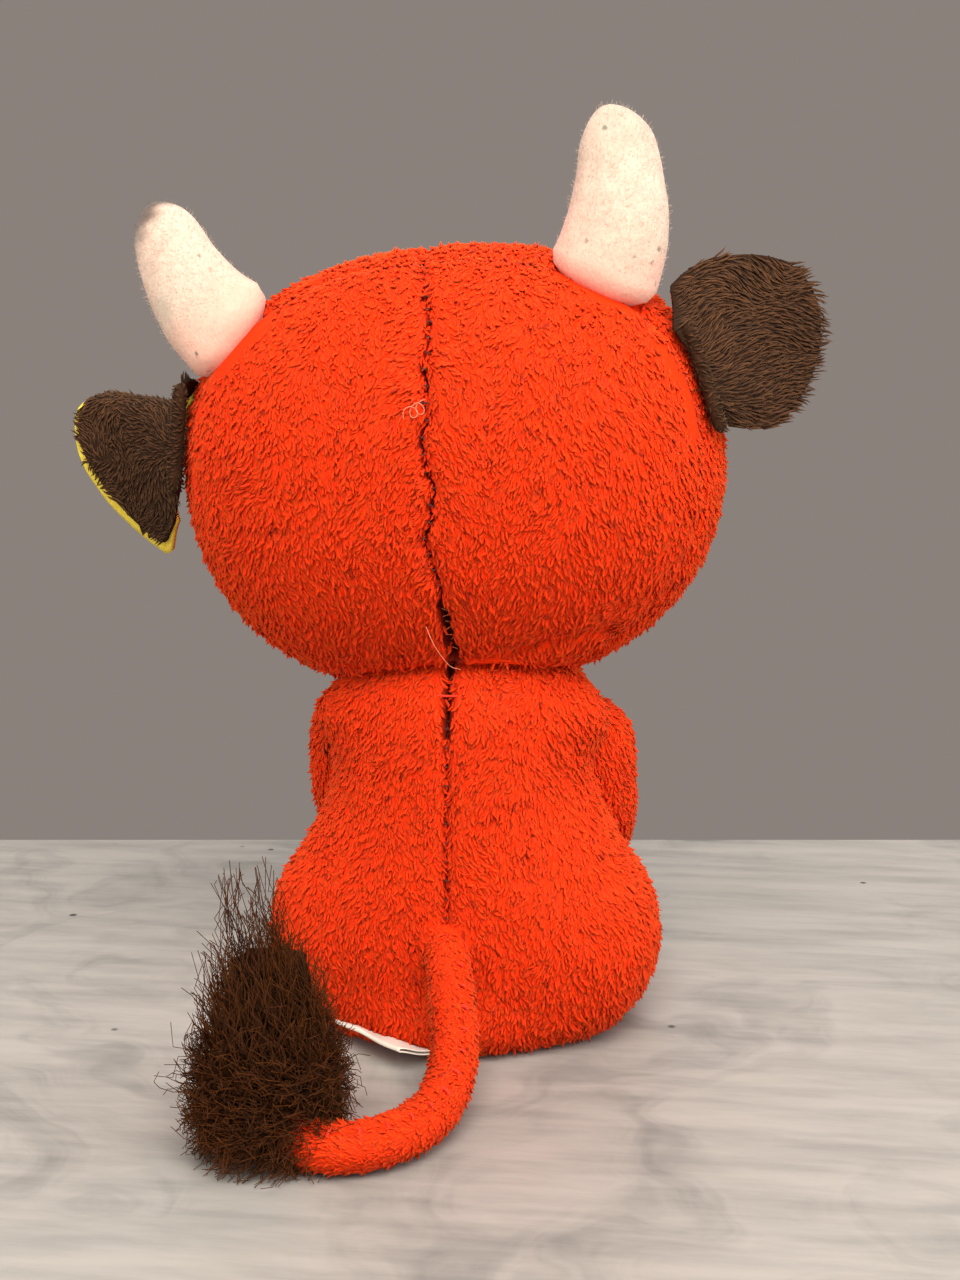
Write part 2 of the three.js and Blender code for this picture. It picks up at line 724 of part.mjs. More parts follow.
function addForeleg(name, foreleg) {
  const place = shoulderPlace(foreleg);
  const shape = forelegShape(foreleg.side);
  const inTheWay = (inset) => sweep(torsoForm(-seamGap - inset), place, X, forelegSwing.map((a) => -a), 2);
  const mouthDirection = vector(foreleg.side, 0, 0);
  addLeg(name, "foreleg", place, shape, shoulderRadius, forelegHoofLength, inTheWay, mouthDirection);
}

function addHindLeg(name, side) {
  const place = hipPlace(side);
  const shape = hindLegShape(side);
  const inTheWay = (inset) => sweep(torsoForm(-seamGap - inset), place, X, hindLegLift.map((a) => -a), 2);
  addLeg(name, "hind_leg", place, shape, hipRadius, hindHoofLength, inTheWay, vector(0, -1, 0));
}

// Tail

const tailRootPlace = vector(0, torsoAtHeight(tailRootHeight).back - tailRootSink, tailRootHeight);
const tailCurve = new THREE.CatmullRomCurve3(tailSideShares.map((share, i) => {
  const rest = tailRadius + groundGap;
  return vector(
    tailHook * share,
    tailRootPlace.y + tailReach * tailReachShares[i],
    rest + (tailRootHeight - rest) * tailHeightShares[i],
  );
}));

function tailStretch(from, to, radius, tipSteps, origin) {
  const places = ringPlaces(6, tipSteps, tipSteps > 1 ? tailTipShare : 1);
  const rings = places.map((t) => {
    const share = THREE.MathUtils.lerp(from, to, t);
    const centre = tailCurve.getPoint(share).sub(origin);
    const along = tailCurve.getTangent(share);
    const wide = vector(0, 0, 0).crossVectors(Z, along).normalize();
    const thick = vector(0, 0, 0).crossVectors(along, wide);
    const size = radius * (tipSteps > 1 ? tipRounding(t, tailTipShare) : 1);
    return angles(8).map((angle) => centre.clone()
      .addScaledVector(wide, size * Math.cos(angle))
      .addScaledVector(thick, size * Math.sin(angle)));
  });
  return loft(rings, tailCurve.getPoint(from).sub(origin), tailCurve.getPoint(to).sub(origin));
}

const tailJoint = tailCurve.getPoint(tailJointShare);

function addTail() {
  const rootGroup = groupAt(cow, new THREE.Matrix4().setPosition(tailRootPlace));
  rootGroup.name = "tail_root_hinge";
  const torso = sweep(torsoForm(-seamGap), new THREE.Matrix4().setPosition(tailRootPlace), Z, tailSwing, 2);
  const rootTube = cut(
    solid(tailStretch(0, tailJointShare, tailRadius, 1, tailRootPlace)),
    torso,
    ball(tailRadius + socketGap, tailJoint.clone().sub(tailRootPlace)),
  );
  piece(rootGroup, "tail_root_cover", joined(rootTube, ball(tailRadius)), plushRed());

  const endGroup = groupAt(rootGroup, new THREE.Matrix4().setPosition(tailJoint.clone().sub(tailRootPlace)));
  endGroup.name = "tail_end_hinge";
  const endTube = solid(tailStretch(tailJointShare, 1, tailRadius, 3, tailJoint));
  piece(endGroup, "tail_end_cover", joined(endTube, ball(tailRadius)), plushRed());

  const tip = tailCurve.getPoint(1);
  const profile = tuftRadiusShares.map((share, i) => {
    return new THREE.Vector2(tuftRadius * share, groundGap + tuftHeight * tuftHeightShares[i]);
  });
  const top = new THREE.Vector2(0, groundGap + tuftHeight);
  const outline = [new THREE.Vector2(0, groundGap), ...profile, top];
  const plume = new THREE.LatheGeometry(outline, 16).rotateX(Math.PI / 2).translate(tip.x, tip.y, 0);
  const tipHole = solid(tailStretch(tailJointShare, 1, tailRadius + seamGap, 3, tailJoint));
  const tuft = cut(solid(plume.translate(-tailJoint.x, -tailJoint.y, -tailJoint.z)), tipHole);
  piece(endGroup, "tail_tuft", tuft, plushBrown());
}

// Torso panels, stuffing, pellets, label and neck thread

function neckThreadForm(grow) {
  const ringRadius = Math.sqrt((neckRadius - neckThreadSink) ** 2 - neckThreadRise ** 2);
  const ring = new THREE.TorusGeometry(ringRadius, neckThreadRadius + grow, 6, torsoDetail.sides);
  return ring.translate(0, 0, neckHeight + neckThreadRise);
}

function addLabel() {
  const level = torsoAtHeight(groundGap + labelThickness);
  const rim = sectionPoint(level, radians(labelPlace));
  const root = rim.clone().setZ(groundGap + labelThickness / 2);
  const ribbon = new THREE.BoxGeometry(labelWidth, 2 * labelLength, labelThickness);
  const place = new THREE.Matrix4().makeRotationZ(radians(-labelTurn)).setPosition(root);
  const shape = cut(solid(ribbon, place), solid(torsoForm(-seamGap)));
  const outward = vector(Math.sin(radians(labelTurn)), Math.cos(radians(labelTurn)), 0);
  piece(cow, "sewn_label", keepSide(shape, vector(0, 0, 0), outward), material(white, 0.7));
}

function addTorso() {
  const sockets = [
    ...Object.values(forelegs).map((foreleg) => {
      return ball(shoulderRadius + socketGap, vector(0, 0, 0).setFromMatrixPosition(shoulderPlace(foreleg)));
    }),
    ...Object.values(sides).map((side) => {
      return ball(hipRadius + socketGap, vector(0, 0, 0).setFromMatrixPosition(hipPlace(side)));
    }),
    ball(tailRadius + socketGap, tailRootPlace),
    solid(neckThreadForm(seamGap)),
  ];
  const whole = (inset) => keepSide(solid(torsoForm(inset)), vector(0, 0, inset), Z);
  const shell = cut(whole(0), whole(plushThickness), ...sockets);
  const [sideShell, base] = parted(shell, vector(0, 0, plushThickness - seamGap / 2), Z);
  const [back, belly] = parted(sideShell, vector(0, -sideSeamForward, 0), Y);
  const [backLeft, backRight] = parted(back, vector(0, 0, 0), X);
  piece(cow, "back_panel_left", backLeft, plushRed());
  piece(cow, "back_panel_right", backRight, plushRed());
  piece(cow, "belly_panel", belly, plushRed());
  piece(cow, "base_panel", base, plushRed());
  const filling = cut(whole(plushThickness + seamGap), ...sockets);
  const [stuffing, pellets] = parted(filling, vector(0, 0, pelletHeight), Z);
  piece(cow, "body_stuffing", stuffing, fibre());
  piece(cow, "pellet_bag", pellets, material(white, 0.8));
  piece(cow, "neck_thread", neckThreadForm(0), material(brown, 0.8));
}

addTorso();
addLabel();
addHead();
addMouth();
addClosingThread();
addTail();
for (const [name, side] of Object.entries(sides)) {
  addHorn(name, horns[name]);
  addEar(name, ears[name]);
  addEye(name, side);
  addNostril(name, side);
  addForeleg(name, forelegs[name]);
  addHindLeg(name, side);
}

export default cow;
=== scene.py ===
import math

import bmesh
import bpy
import numpy as np
from mathutils import Matrix, Vector


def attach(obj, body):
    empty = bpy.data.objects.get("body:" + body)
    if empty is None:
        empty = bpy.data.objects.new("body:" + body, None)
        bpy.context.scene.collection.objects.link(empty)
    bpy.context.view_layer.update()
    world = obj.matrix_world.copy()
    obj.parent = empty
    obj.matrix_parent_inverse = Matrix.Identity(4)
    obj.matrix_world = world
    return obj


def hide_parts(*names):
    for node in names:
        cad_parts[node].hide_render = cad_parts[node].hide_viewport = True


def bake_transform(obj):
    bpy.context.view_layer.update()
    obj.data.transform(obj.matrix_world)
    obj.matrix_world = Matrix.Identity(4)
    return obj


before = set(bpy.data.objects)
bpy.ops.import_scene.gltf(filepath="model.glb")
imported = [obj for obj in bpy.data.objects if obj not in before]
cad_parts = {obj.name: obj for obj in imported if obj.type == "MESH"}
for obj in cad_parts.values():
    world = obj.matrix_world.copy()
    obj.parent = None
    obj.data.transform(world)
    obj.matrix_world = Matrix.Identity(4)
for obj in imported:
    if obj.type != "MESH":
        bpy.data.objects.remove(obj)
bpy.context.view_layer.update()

bl_info = {
    "name": "Plush Cow",
    "version": (1, 0, 0),
    "blender": (4, 5, 0),
    "location": "3D View > Sidebar > Plush Cow",
    "description": "Sews, stuffs and grooms a small seated plush cow, and sets the table that it sits on",
    "category": "Object",
}

MM = 0.001
X, Y, Z = np.eye(3)
SIDES = {"left": 1, "right": -1}


# Forms, in millimetres, as the fixed frame has them

NECK = np.array([0.0, 0.0, 47.0])
NECK_RADIUS = 20.0
SEAT_FLATTENING = 0.5
SEAT = {"half_width": 31.3, "back": 21.5, "front": 21.0}
SEAT_SQUARE = 0.2
SIDE_SEAM = -4.0
BASE_HEIGHT = 1.05
PELLET_HEIGHT = 13.0
TORSO_PROFILE = np.array([
    (0, 0.62, 1), (0.06, 0.83, 1), (0.16, 0.95, 1), (0.3, 1, 1),
    (0.45, 1, 0.9), (0.6, 1, 0.52), (0.78, 1, 0.18), (1, 1, 0),
])

HEAD_POWER = 2 / (1 - 0.11)
HEAD = {"centre": (-2.2, -2, 40), "half_width": 41.5, "back": 30, "front": 32, "up": 32.5, "down": 35.7}
MUZZLE = {"centre": (-2.2, -26, 28), "half_width": 22, "back": 16, "front": 16, "up": 14, "down": 14}
HEAD_PLACE = Matrix.Translation(NECK) @ Matrix.Rotation(math.radians(6), 4, "Y")
CROWN_SEAM = 11.0
SOCKET_RADIUS = 20.9

HORNS = {
    "left": {"side": 1, "crown": 52.5, "lean": 49, "forward": 16, "stain": 0.9},
    "right": {"side": -1, "crown": 46, "lean": 28, "forward": 0, "stain": 0.15},
}
HORN_LENGTH, HORN_WIDTH, HORN_THICKNESS, HORN_CURL, HORN_LIFT = 21, 7.8, 4.7, 0.4, 0.3
HORN_WIDTHS, HORN_THICKNESSES, HORN_TIP = (1, 0.93, 0.83, 0.7, 0.52), (1, 1, 0.95, 0.85, 0.75), 0.78
HORN_ROOT = (8.0, 4.8, 4.0)
HORN_FUZZ = (0.8, 0.5, 0.06, 0.5, 0.95)

EARS = {
    "left": {"side": 1, "crown": 79, "fold": 32, "lift": -1, "crease": 150, "droop": 3.6, "edge": 1.9},
    "right": {"side": -1, "crown": 77, "fold": 34, "lift": 28, "crease": 0, "droop": 0, "edge": -0.9},
}
EAR_LENGTH, EAR_WIDTH, EAR_CUP, EAR_ROOT, EAR_OUTSET = 22.5, 13, 2.5, 1.9, 0.3
EAR_FELT, SEAM_GAP, SEWN_GAP = 1.0, 0.3, 0.06
EAR_WIDTHS, EAR_TIP = (0.63, 1, 1, 1, 0.95), 0.35
EAR_DROOP = ((0, 0.1, 0.3, 0.62, 0.85, 1), (0, 0.8, 1, 0.1, -0.3, 0))
EAR_ROLL = EAR_ROOT - 0.9
CREASE_RISE, CREASE_RADIUS, CREASE_FADE = 1.0, 3.5, 0.35

LIMB_TIP = 0.7
HOOF_PILE = 1.7
FORELEG = {"length": 26, "radius": 7.5, "root": 7.8, "hoof": 8, "widths": (1, 1.02, 0.97, 0.92, 0.9)}
HIND_LEG = {"radius": 8.3, "root": 8.4, "hoof": 8, "widths": (1, 0.97, 0.95, 0.97, 1)}
SHOULDER = {"height": {1: 43.5, -1: 43.0}, "sink": 2.3, "forward": 6}
SEAT_FILL = {"out": 4.5, "height": 2.0, "spread": 5.5, "reach": 12.0}
SHOULDER_FILL = {"out": 4.2, "height": 49.5, "spread": 4.8, "back": 5.0, "reach": 7.5}
HIP = {"height": 8.8, "spread": 17.5, "sink": 3.5}

TAIL_RADIUS, TAIL_JOINT, TAIL_TIP = 3.4, 0.45, 0.85
TAIL_HEIGHT, TAIL_SINK, TAIL_REACH, TAIL_HOOK, TAIL_REST = 18.0, 2.0, 38.0, 18.0, 3.8
TAIL_SIDES = (0, -0.122, -0.217, -0.167, 0.056, 0.456, 0.811, 1)
TAIL_REACHES = (0, 0.237, 0.474, 0.697, 0.908, 1.029, 0.961, 0.789)
TAIL_HEIGHTS = (1, 0.648, 0.296, 0.056, 0, 0, 0.042, 0.25)
TUFT_RADIUS, TUFT_HEIGHT, TUFT_LEAN = 11.5, 35.0, 2.0
TUFT_WIDTHS = (
    (0, 0.72), (0.07, 0.88), (0.26, 1), (0.44, 0.92), (0.62, 0.74), (0.77, 0.64), (0.9, 0.5), (1, 0.3),
)
TAIL_INSET, TAIL_SEAM, TAIL_STITCH = 0.35, math.radians(62), 3.7
TAIL_BEND = {"way": np.array([0.318, 0.934, -0.164]), "reach": 3.5}


def unit(vectors):
    """Vectors at a length of one"""
    vectors = np.asarray(vectors, float)
    return vectors / np.maximum(np.linalg.norm(vectors, axis=-1, keepdims=True), 1e-9)


def placed(matrix, points):
    """Points carried by a placing matrix"""
    matrix = np.array(matrix)
    return np.asarray(points) @ matrix[:3, :3].T + matrix[:3, 3]


def turns(count):
    """Even steps round a circle"""
    return np.linspace(0, 2 * math.pi, count, endpoint=False)


def oval(centre, wide, thick, angles, size=1.0):
    """A ring of points round a centre, with its two half-axes"""
    return centre + size * (np.cos(angles)[:, None] * wide + np.sin(angles)[:, None] * thick)


def smoothstep(low, high, value):
    """0 below low and 1 above high, eased between them"""
    share = np.clip((np.asarray(value, float) - low) / (high - low), 0, 1)
    return share * share * (3 - 2 * share)


def rounded_line(points, shares):
    """Places on the smooth line through points, each at a share of its spans from 0 to 1"""
    points = np.asarray(points, float)
    last = len(points) - 1
    found = []
    for share in np.atleast_1d(shares):
        span = min(int(share * last), last - 1)
        weight = share * last - span
        b, c = points[span], points[span + 1]
        a = points[span - 1] if span > 0 else 2 * points[0] - points[1]
        d = points[span + 2] if span + 2 <= last else 2 * points[last] - points[last - 1]
        gaps = [np.sum((q - p) ** 2) ** 0.25 for p, q in ((a, b), (b, c), (c, d))]
        gaps[1] = gaps[1] if gaps[1] > 1e-4 else 1.0
        gaps = [gap if gap > 1e-4 else gaps[1] for gap in gaps]
        leave = ((b - a) / gaps[0] - (c - a) / (gaps[0] + gaps[1]) + (c - b) / gaps[1]) * gaps[1]
        arrive = ((c - b) / gaps[1] - (d - b) / (gaps[1] + gaps[2]) + (d - c) / gaps[2]) * gaps[1]
        cubic = (2 * b - 2 * c + leave + arrive) * weight + (-3 * b + 3 * c - 2 * leave - arrive)
        found.append((cubic * weight + leave) * weight + b)
    return np.array(found)


def bent_line(start, middle, end):
    """Place and direction on a curve pulled towards its middle point, as functions of a share"""
    a, b, c = (np.asarray(p, float) for p in (start, middle, end))

    def place(t):
        t = np.asarray(t)[..., None]
        return (1 - t) ** 2 * a + 2 * t * (1 - t) * b + t ** 2 * c

    def along(t):
        t = np.asarray(t)[..., None]
        return unit(2 * (1 - t) * (b - a) + 2 * t * (c - b))

    return place, along


def tip_rounding(t, tip):
    """How far a limb has closed in at a share of its length"""
    beyond = np.maximum((np.asarray(t, float) - tip) / (1 - tip), 0)
    return np.sqrt(np.maximum(1 - beyond ** 2, 0))


def shares_to_tip(tip, steps, closing, first=0.0):
    """Shares along a limb, closer together where its tip closes in"""
    rounded = np.sin(np.linspace(0, math.pi / 2, closing)[1:-1])
    return np.concatenate([np.linspace(first, tip, steps), tip + (1 - tip) * rounded])


def share_at(shares, t):
    """A value between evenly spaced shares"""
    return np.interp(t, np.linspace(0, 1, len(shares)), shares)


def reaches(form, directions, inset):
    """Half-sizes of a rounded form towards each direction, one row for each"""
    return np.stack([
        np.full(len(directions), form["half_width"] - inset, float),
        np.where(directions[:, 1] > 0, form["back"], form["front"]) - inset,
        np.where(directions[:, 2] > 0, form["up"], form["down"]) - inset,
    ], axis=1)


def on_rounded(form, directions, inset):
    """Points of a rounded box form that lie at the given directions of its own ball"""
    size = (np.abs(directions) ** HEAD_POWER).sum(axis=1) ** (-1 / HEAD_POWER)
    return np.array(form["centre"]) + directions * size[:, None] * reaches(form, directions, inset)


def depth_in(form, points, inset=0.0):
    """Rough depth of points inside a rounded form, negative outside it"""
    offset = np.asarray(points, float) - np.array(form["centre"])
    semi = reaches(form, offset, inset)
    level = (np.abs(offset / semi) ** HEAD_POWER).sum(axis=1) ** (1 / HEAD_POWER)
    return (1 - level) * np.linalg.norm(offset, axis=1) / np.maximum(level, 1e-6)


def on_front(form, x, z, back=False):
    """A point on a rounded form's front or back, at x and z from its middle, with its normal"""
    height = form["up"] if z > 0 else form["down"]
    depth = form["back"] if back else form["front"]
    filled = abs(x / form["half_width"]) ** HEAD_POWER + abs(z / height) ** HEAD_POWER
    y = (1 if back else -1) * depth * max(1 - filled, 0) ** (1 / HEAD_POWER)
    offset = np.array([x, y, z])
    semi = np.array([form["half_width"], depth, height])
    normal = np.sign(offset) * np.abs(offset / semi) ** (HEAD_POWER - 1) / semi
    return np.array(form["centre"]) + offset, unit(normal)


def traced(form, spots, back=False):
    """A line over a form of the head, through places that are each given by x, z and a height over it"""
    line = []
    for x, z, height in spots:
        point, normal = on_front(form, x, z, back)
        line.append(point + normal * height)
    return placed(HEAD_PLACE, line)


def crown_seat(side, crown, lift):
    """Where a horn or an ear is sewn into the seam over the head"""
    out, rise = math.sin(math.radians(crown)), math.cos(math.radians(crown))
    height = HEAD["up"] if rise > 0 else HEAD["down"]
    left = 1 - abs(CROWN_SEAM / HEAD["back"]) ** HEAD_POWER
    size = abs(out / HEAD["half_width"]) ** HEAD_POWER + abs(rise / height) ** HEAD_POWER
    radius = (left / size) ** (1 / HEAD_POWER)
    offset = np.array([side * out * radius, 0, rise * radius])
    return np.array(HEAD["centre"]) + CROWN_SEAM * Y + offset + lift * unit(offset)


def horn_place(horn):
    """The frame of a horn, with its origin on its hinge"""
    seat = Matrix.Translation(crown_seat(horn["side"], horn["crown"], HORN_LIFT))
    lean = Matrix.Rotation(math.radians(horn["side"] * horn["lean"]), 4, "Y")
    return HEAD_PLACE @ seat @ lean @ Matrix.Rotation(math.radians(horn["forward"]), 4, "X")


def ear_place(ear):
    """The frame of an ear, with its origin on its hinge"""
    seat = Matrix.Translation(crown_seat(ear["side"], ear["crown"], EAR_OUTSET))
    turn = Matrix.Rotation(math.radians(ear["side"] * (ear["crown"] - 90)), 4, "Y")
    return HEAD_PLACE @ seat @ turn @ Matrix.Rotation(math.radians(-ear["side"] * ear["fold"]), 4, "Z")


TORSO_STEPS = np.linspace(0, 1, 241)
TORSO_LINE = rounded_line(TORSO_PROFILE, TORSO_STEPS)


def torso_level(share, inset):
    """Height, reaches and roundness of the torso at a share of its profile"""
    height, rounding, swell = (np.interp(share, TORSO_STEPS, TORSO_LINE[:, i]) for i in range(3))
    reach = {key: (NECK_RADIUS + (full - NECK_RADIUS) * swell) * rounding - inset
             for key, full in SEAT.items()}
    return (NECK[2] + SEAT_FLATTENING) * height - SEAT_FLATTENING, reach, 1 - SEAT_SQUARE * swell


def torso_share(z):
    """The share of the torso's profile that lies at a height"""
    heights = (NECK[2] + SEAT_FLATTENING) * TORSO_LINE[:, 0] - SEAT_FLATTENING
    return np.interp(z, heights, TORSO_STEPS)


def section(reach, roundness, angles, z):
    """One ring of the torso"""
    c, s = np.cos(angles), np.sin(angles)
    depth = np.where(s > 0, reach["back"], reach["front"])
    x = reach["half_width"] * np.sign(c) * np.abs(c) ** roundness
    y = depth * np.sign(s) * np.abs(s) ** roundness
    return np.stack([x, y, np.full_like(x, z)], axis=1)


def depth_in_torso(points, inset=0.0):
    """Rough depth of points inside the torso, negative outside it"""
    points = np.asarray(points, float)
    depth = np.empty(len(points))
    for i, (x, y, z) in enumerate(points):
        if z > NECK[2]:
            depth[i] = NECK_RADIUS - inset - math.dist((x, y, z), NECK)
            continue
        _, reach, roundness = torso_level(torso_share(z), inset)
        far = reach["back"] if y > 0 else reach["front"]
        power = 2 / roundness
        level = (abs(x / reach["half_width"]) ** power + abs(y / far) ** power) ** (1 / power)
        depth[i] = (1 - level) * math.hypot(x, y) / max(level, 1e-6)
    return depth


def foreleg_line(side):
    """A foreleg's root and its middle line"""
    height = SHOULDER["height"][side]
    reach = torso_level(torso_share(height), 0)[1]
    root = np.array([side * (reach["half_width"] - SHOULDER["sink"]), -SHOULDER["forward"], height])
    end = FORELEG["length"] * np.array([-side * 0.1, -0.78, -0.78])
    return root, bent_line(root, root + FORELEG["length"] * np.array([side * 0.07, -0.06, -0.7]), root + end)


def hind_leg_line(side):
    """A hind leg's root and its middle line"""
    reach = torso_level(torso_share(HIP["height"]), 0)[1]
    root = np.array([side * HIP["spread"], HIP["sink"] - reach["front"], HIP["height"]])
    end = root + (side * 3.12, -26, 0)
    return root, bent_line(root, (root + end) / 2, end)


def tail_points():
    """The points that the tail's middle line goes through"""
    root = torso_level(torso_share(TAIL_HEIGHT), 0)[1]["back"] - TAIL_SINK
    return np.array([
        (TAIL_HOOK * side, root + TAIL_REACH * reach, TAIL_REST + (TAIL_HEIGHT - TAIL_REST) * height)
        for side, reach, height in zip(TAIL_SIDES, TAIL_REACHES, TAIL_HEIGHTS)
    ])


# Mesh tools

def sheet_of_rings(rings, close_start=True, close_end=True):
    """Points and faces of a skin over rings of points, with its ends closed by a point each"""
    rings = np.asarray(rings)
    count = rings.shape[1]
    points = rings.reshape(-1, 3)
    faces = []
    for r in range(len(rings) - 1):
        for i in range(count):
            j = (i + 1) % count
            faces.append((r * count + i, r * count + j, (r + 1) * count + j, (r + 1) * count + i))
    if close_start:
        points = np.vstack([points, rings[0].mean(axis=0)])
        faces += [(len(points) - 1, (i + 1) % count, i) for i in range(count)]
    if close_end:
        points = np.vstack([points, rings[-1].mean(axis=0)])
        base = (len(rings) - 1) * count
        faces += [(len(points) - 1, base + i, base + (i + 1) % count) for i in range(count)]
    return points, faces


def box_ball(count):
    """Directions and faces of a ball made of six grids, with even faces"""
    bm = bmesh.new()
    bmesh.ops.create_cube(bm, size=2)
    bmesh.ops.subdivide_edges(bm, edges=bm.edges, cuts=count - 1, use_grid_fill=True)
    corners = np.array([v.co for v in bm.verts])
    faces = [tuple(v.index for v in f.verts) for f in bm.faces]
    bm.free()
    return unit(np.tan(corners * math.pi / 4)), faces


def open_surface(points, faces, matrix):
    """A bmesh in millimetres, with its faces as they are given"""
    bm = bmesh.new()
    verts = [bm.verts.new(p) for p in placed(matrix, points)]
    for face in faces:
        bm.faces.new([verts[i] for i in face])
    return bm


def surface(points, faces, matrix=Matrix.Identity(4)):
    """A bmesh in millimetres, with its faces turned outwards"""
    bm = open_surface(points, faces, matrix)
    bmesh.ops.recalc_face_normals(bm, faces=bm.faces)
    return bm


def smooth(mesh):
    """Shades a mesh without facets"""
    mesh.polygons.foreach_set("use_smooth", [True] * len(mesh.polygons))


def set_mesh(obj, mesh):
    """Gives an object a new mesh in place of its old one"""
    old, obj.data = obj.data, mesh
    bpy.data.meshes.remove(old)


def add_object(name, mesh):
    """Puts a mesh into the scene under a name"""
    obj = bpy.data.objects.new(name, mesh)
    bpy.context.scene.collection.objects.link(obj)
    return obj


def object_from(name, bm):
    """Makes a scene object, in metres, of a bmesh in millimetres"""
    bmesh.ops.scale(bm, vec=(MM, MM, MM), verts=bm.verts)
    mesh = bpy.data.meshes.new(name)
    bm.to_mesh(mesh)
    bm.free()
    smooth(mesh)
    return add_object(name, mesh)


def points_of(obj):
    """An object's points in millimetres, and its normals"""
    mesh = obj.data
    points, normals = np.empty(len(mesh.vertices) * 3), np.empty(len(mesh.vertices) * 3)
    mesh.vertices.foreach_get("co", points)
    mesh.vertex_normals.foreach_get("vector", normals)
    return points.reshape(-1, 3) / MM, normals.reshape(-1, 3)


def move_points(obj, points):
    """Writes an object's points, given in millimetres"""
    obj.data.vertices.foreach_set("co", (np.asarray(points) * MM).ravel())
    obj.data.update()


def paint(obj, name, values):
    """Stores a value or a vector at each point of an object"""
    values = np.asarray(values, np.float32)
    kind, field = ("FLOAT_VECTOR", "vector") if values.ndim == 2 else ("FLOAT", "value")
    obj.data.attributes.new(name, kind, "POINT").data.foreach_set(field, values.ravel())


def evaluated_mesh(obj):
    """The mesh that an object's modifiers make"""
    graph = bpy.context.evaluated_depsgraph_get()
    graph.update()
    return bpy.data.meshes.new_from_object(obj.evaluated_get(graph), depsgraph=graph)


def walled(obj, thickness, offset=-1):
    """Gives an open sheet its thickness, in millimetres"""
    wall = obj.modifiers.new("wall", "SOLIDIFY")
    wall.thickness, wall.offset = thickness * MM, offset
    mesh = evaluated_mesh(obj)
    obj.modifiers.clear()
    set_mesh(obj, mesh)
    mesh.name = obj.name


def kept_above(obj, height):
    """Lifts points that lie lower than a height, given in millimetres"""
    points, _ = points_of(obj)
    points[:, 2] = np.maximum(points[:, 2], height)
    move_points(obj, points)


def merged(first, *others):
    """Joins objects into the first of them"""
    joined = [first, *others]
    with bpy.context.temp_override(active_object=first, object=first, selected_editable_objects=joined):
        bpy.ops.object.join()
    return first


def dress(obj, name):
    """Gives an object one of the finished materials"""
    obj.data.materials.clear()
    obj.data.materials.append(MATERIALS[name])
    return obj


def noise_at(points, size, seed):
    """Smooth random values from -1 to 1 that change over a size in millimetres, three for each point"""
    rng = np.random.default_rng(seed)
    waves = rng.normal(size=(3, 9, 3)) / size
    phases = rng.uniform(0, 2 * math.pi, size=(3, 9))
    values = [np.sin(points @ waves[i].T * 2.2 + phases[i]).mean(axis=1) * 1.6 for i in range(3)]
    return np.stack(values, axis=1)


# Materials

VALUE, WHOLE, VECTOR, COLOUR = (f"NodeSocket{kind}" for kind in ("Float", "Int", "Vector", "Color"))
MESH, OBJECT, FINISH = (f"NodeSocket{kind}" for kind in ("Geometry", "Object", "Material"))


def node(tree, kind, inputs=None, **settings):
    """Adds a node, sets it up, and links or fills its inputs"""
    made = tree.nodes.new(kind)
    for key, value in settings.items():
        setattr(made, key, value)
    for key, value in (inputs or {}).items():
        if isinstance(value, bpy.types.NodeSocket):
            tree.links.new(value, made.inputs[key])
        else:
            made.inputs[key].default_value = value
    return made


def feed(made, key, socket):
    """Links a socket to an input of a node"""
    made.id_data.links.new(socket, made.inputs[key])


def new_group(name, kind, inputs, outputs):
    """An empty node group with named sockets, each given with its type and a default"""
    tree = bpy.data.node_groups.new(name, kind)
    for socket, (form, default) in inputs.items():
        made = tree.interface.new_socket(socket, in_out="INPUT", socket_type=form)
        if default is not None:
            made.default_value = default
    for socket, form in outputs.items():
        tree.interface.new_socket(socket, in_out="OUTPUT", socket_type=form)
    return tree, node(tree, "NodeGroupInput").outputs, node(tree, "NodeGroupOutput")


def mix(tree, factor, a, b, blend="MIX"):
    """A mixed colour"""
    inputs = {0: factor, 6: a, 7: b}
    return node(tree, "ShaderNodeMix", inputs, data_type="RGBA", blend_type=blend).outputs[2]


def ranged(tree, value, low, high, to_low=0.0, to_high=1.0):
    """A value carried from one range to another, eased and held at its ends"""
    return node(tree, "ShaderNodeMapRange", {
        "Value": value, "From Min": low, "From Max": high, "To Min": to_low, "To Max": to_high,
    }, interpolation_type="SMOOTHSTEP").outputs["Result"]


def noise(tree, vector, scale, detail=3.0, roughness=0.55):
    """Noise over a surface, with its scale in cycles a metre"""
    return node(tree, "ShaderNodeTexNoise", {
        "Vector": vector, "Scale": scale, "Detail": detail, "Roughness": roughness,
    }).outputs["Fac"]


def clouds(tree, vector, scale, detail=1.0):
    """Noise over a surface, as three values at once"""
    made = node(tree, "ShaderNodeTexNoise", {"Vector": vector, "Scale": scale, "Detail": detail})
    return made.outputs["Color"]


def combined(tree, operation, a, b):
    """What an operation makes of two values"""
    return node(tree, "ShaderNodeMath", {0: a, 1: b}, operation=operation).outputs[0]


def vectors(tree, operation, *given):
    """What an operation makes of vectors"""
    return node(tree, "ShaderNodeVectorMath", dict(enumerate(given)), operation=operation).outputs[0]


def scaled(tree, vector, factor):
    """A vector made longer or shorter"""
    return node(tree, "ShaderNodeVectorMath", {0: vector, "Scale": factor}, operation="SCALE").outputs[0]


# How dark the painted shade of a dash in the pile is
DASH_SHADE = 0.55


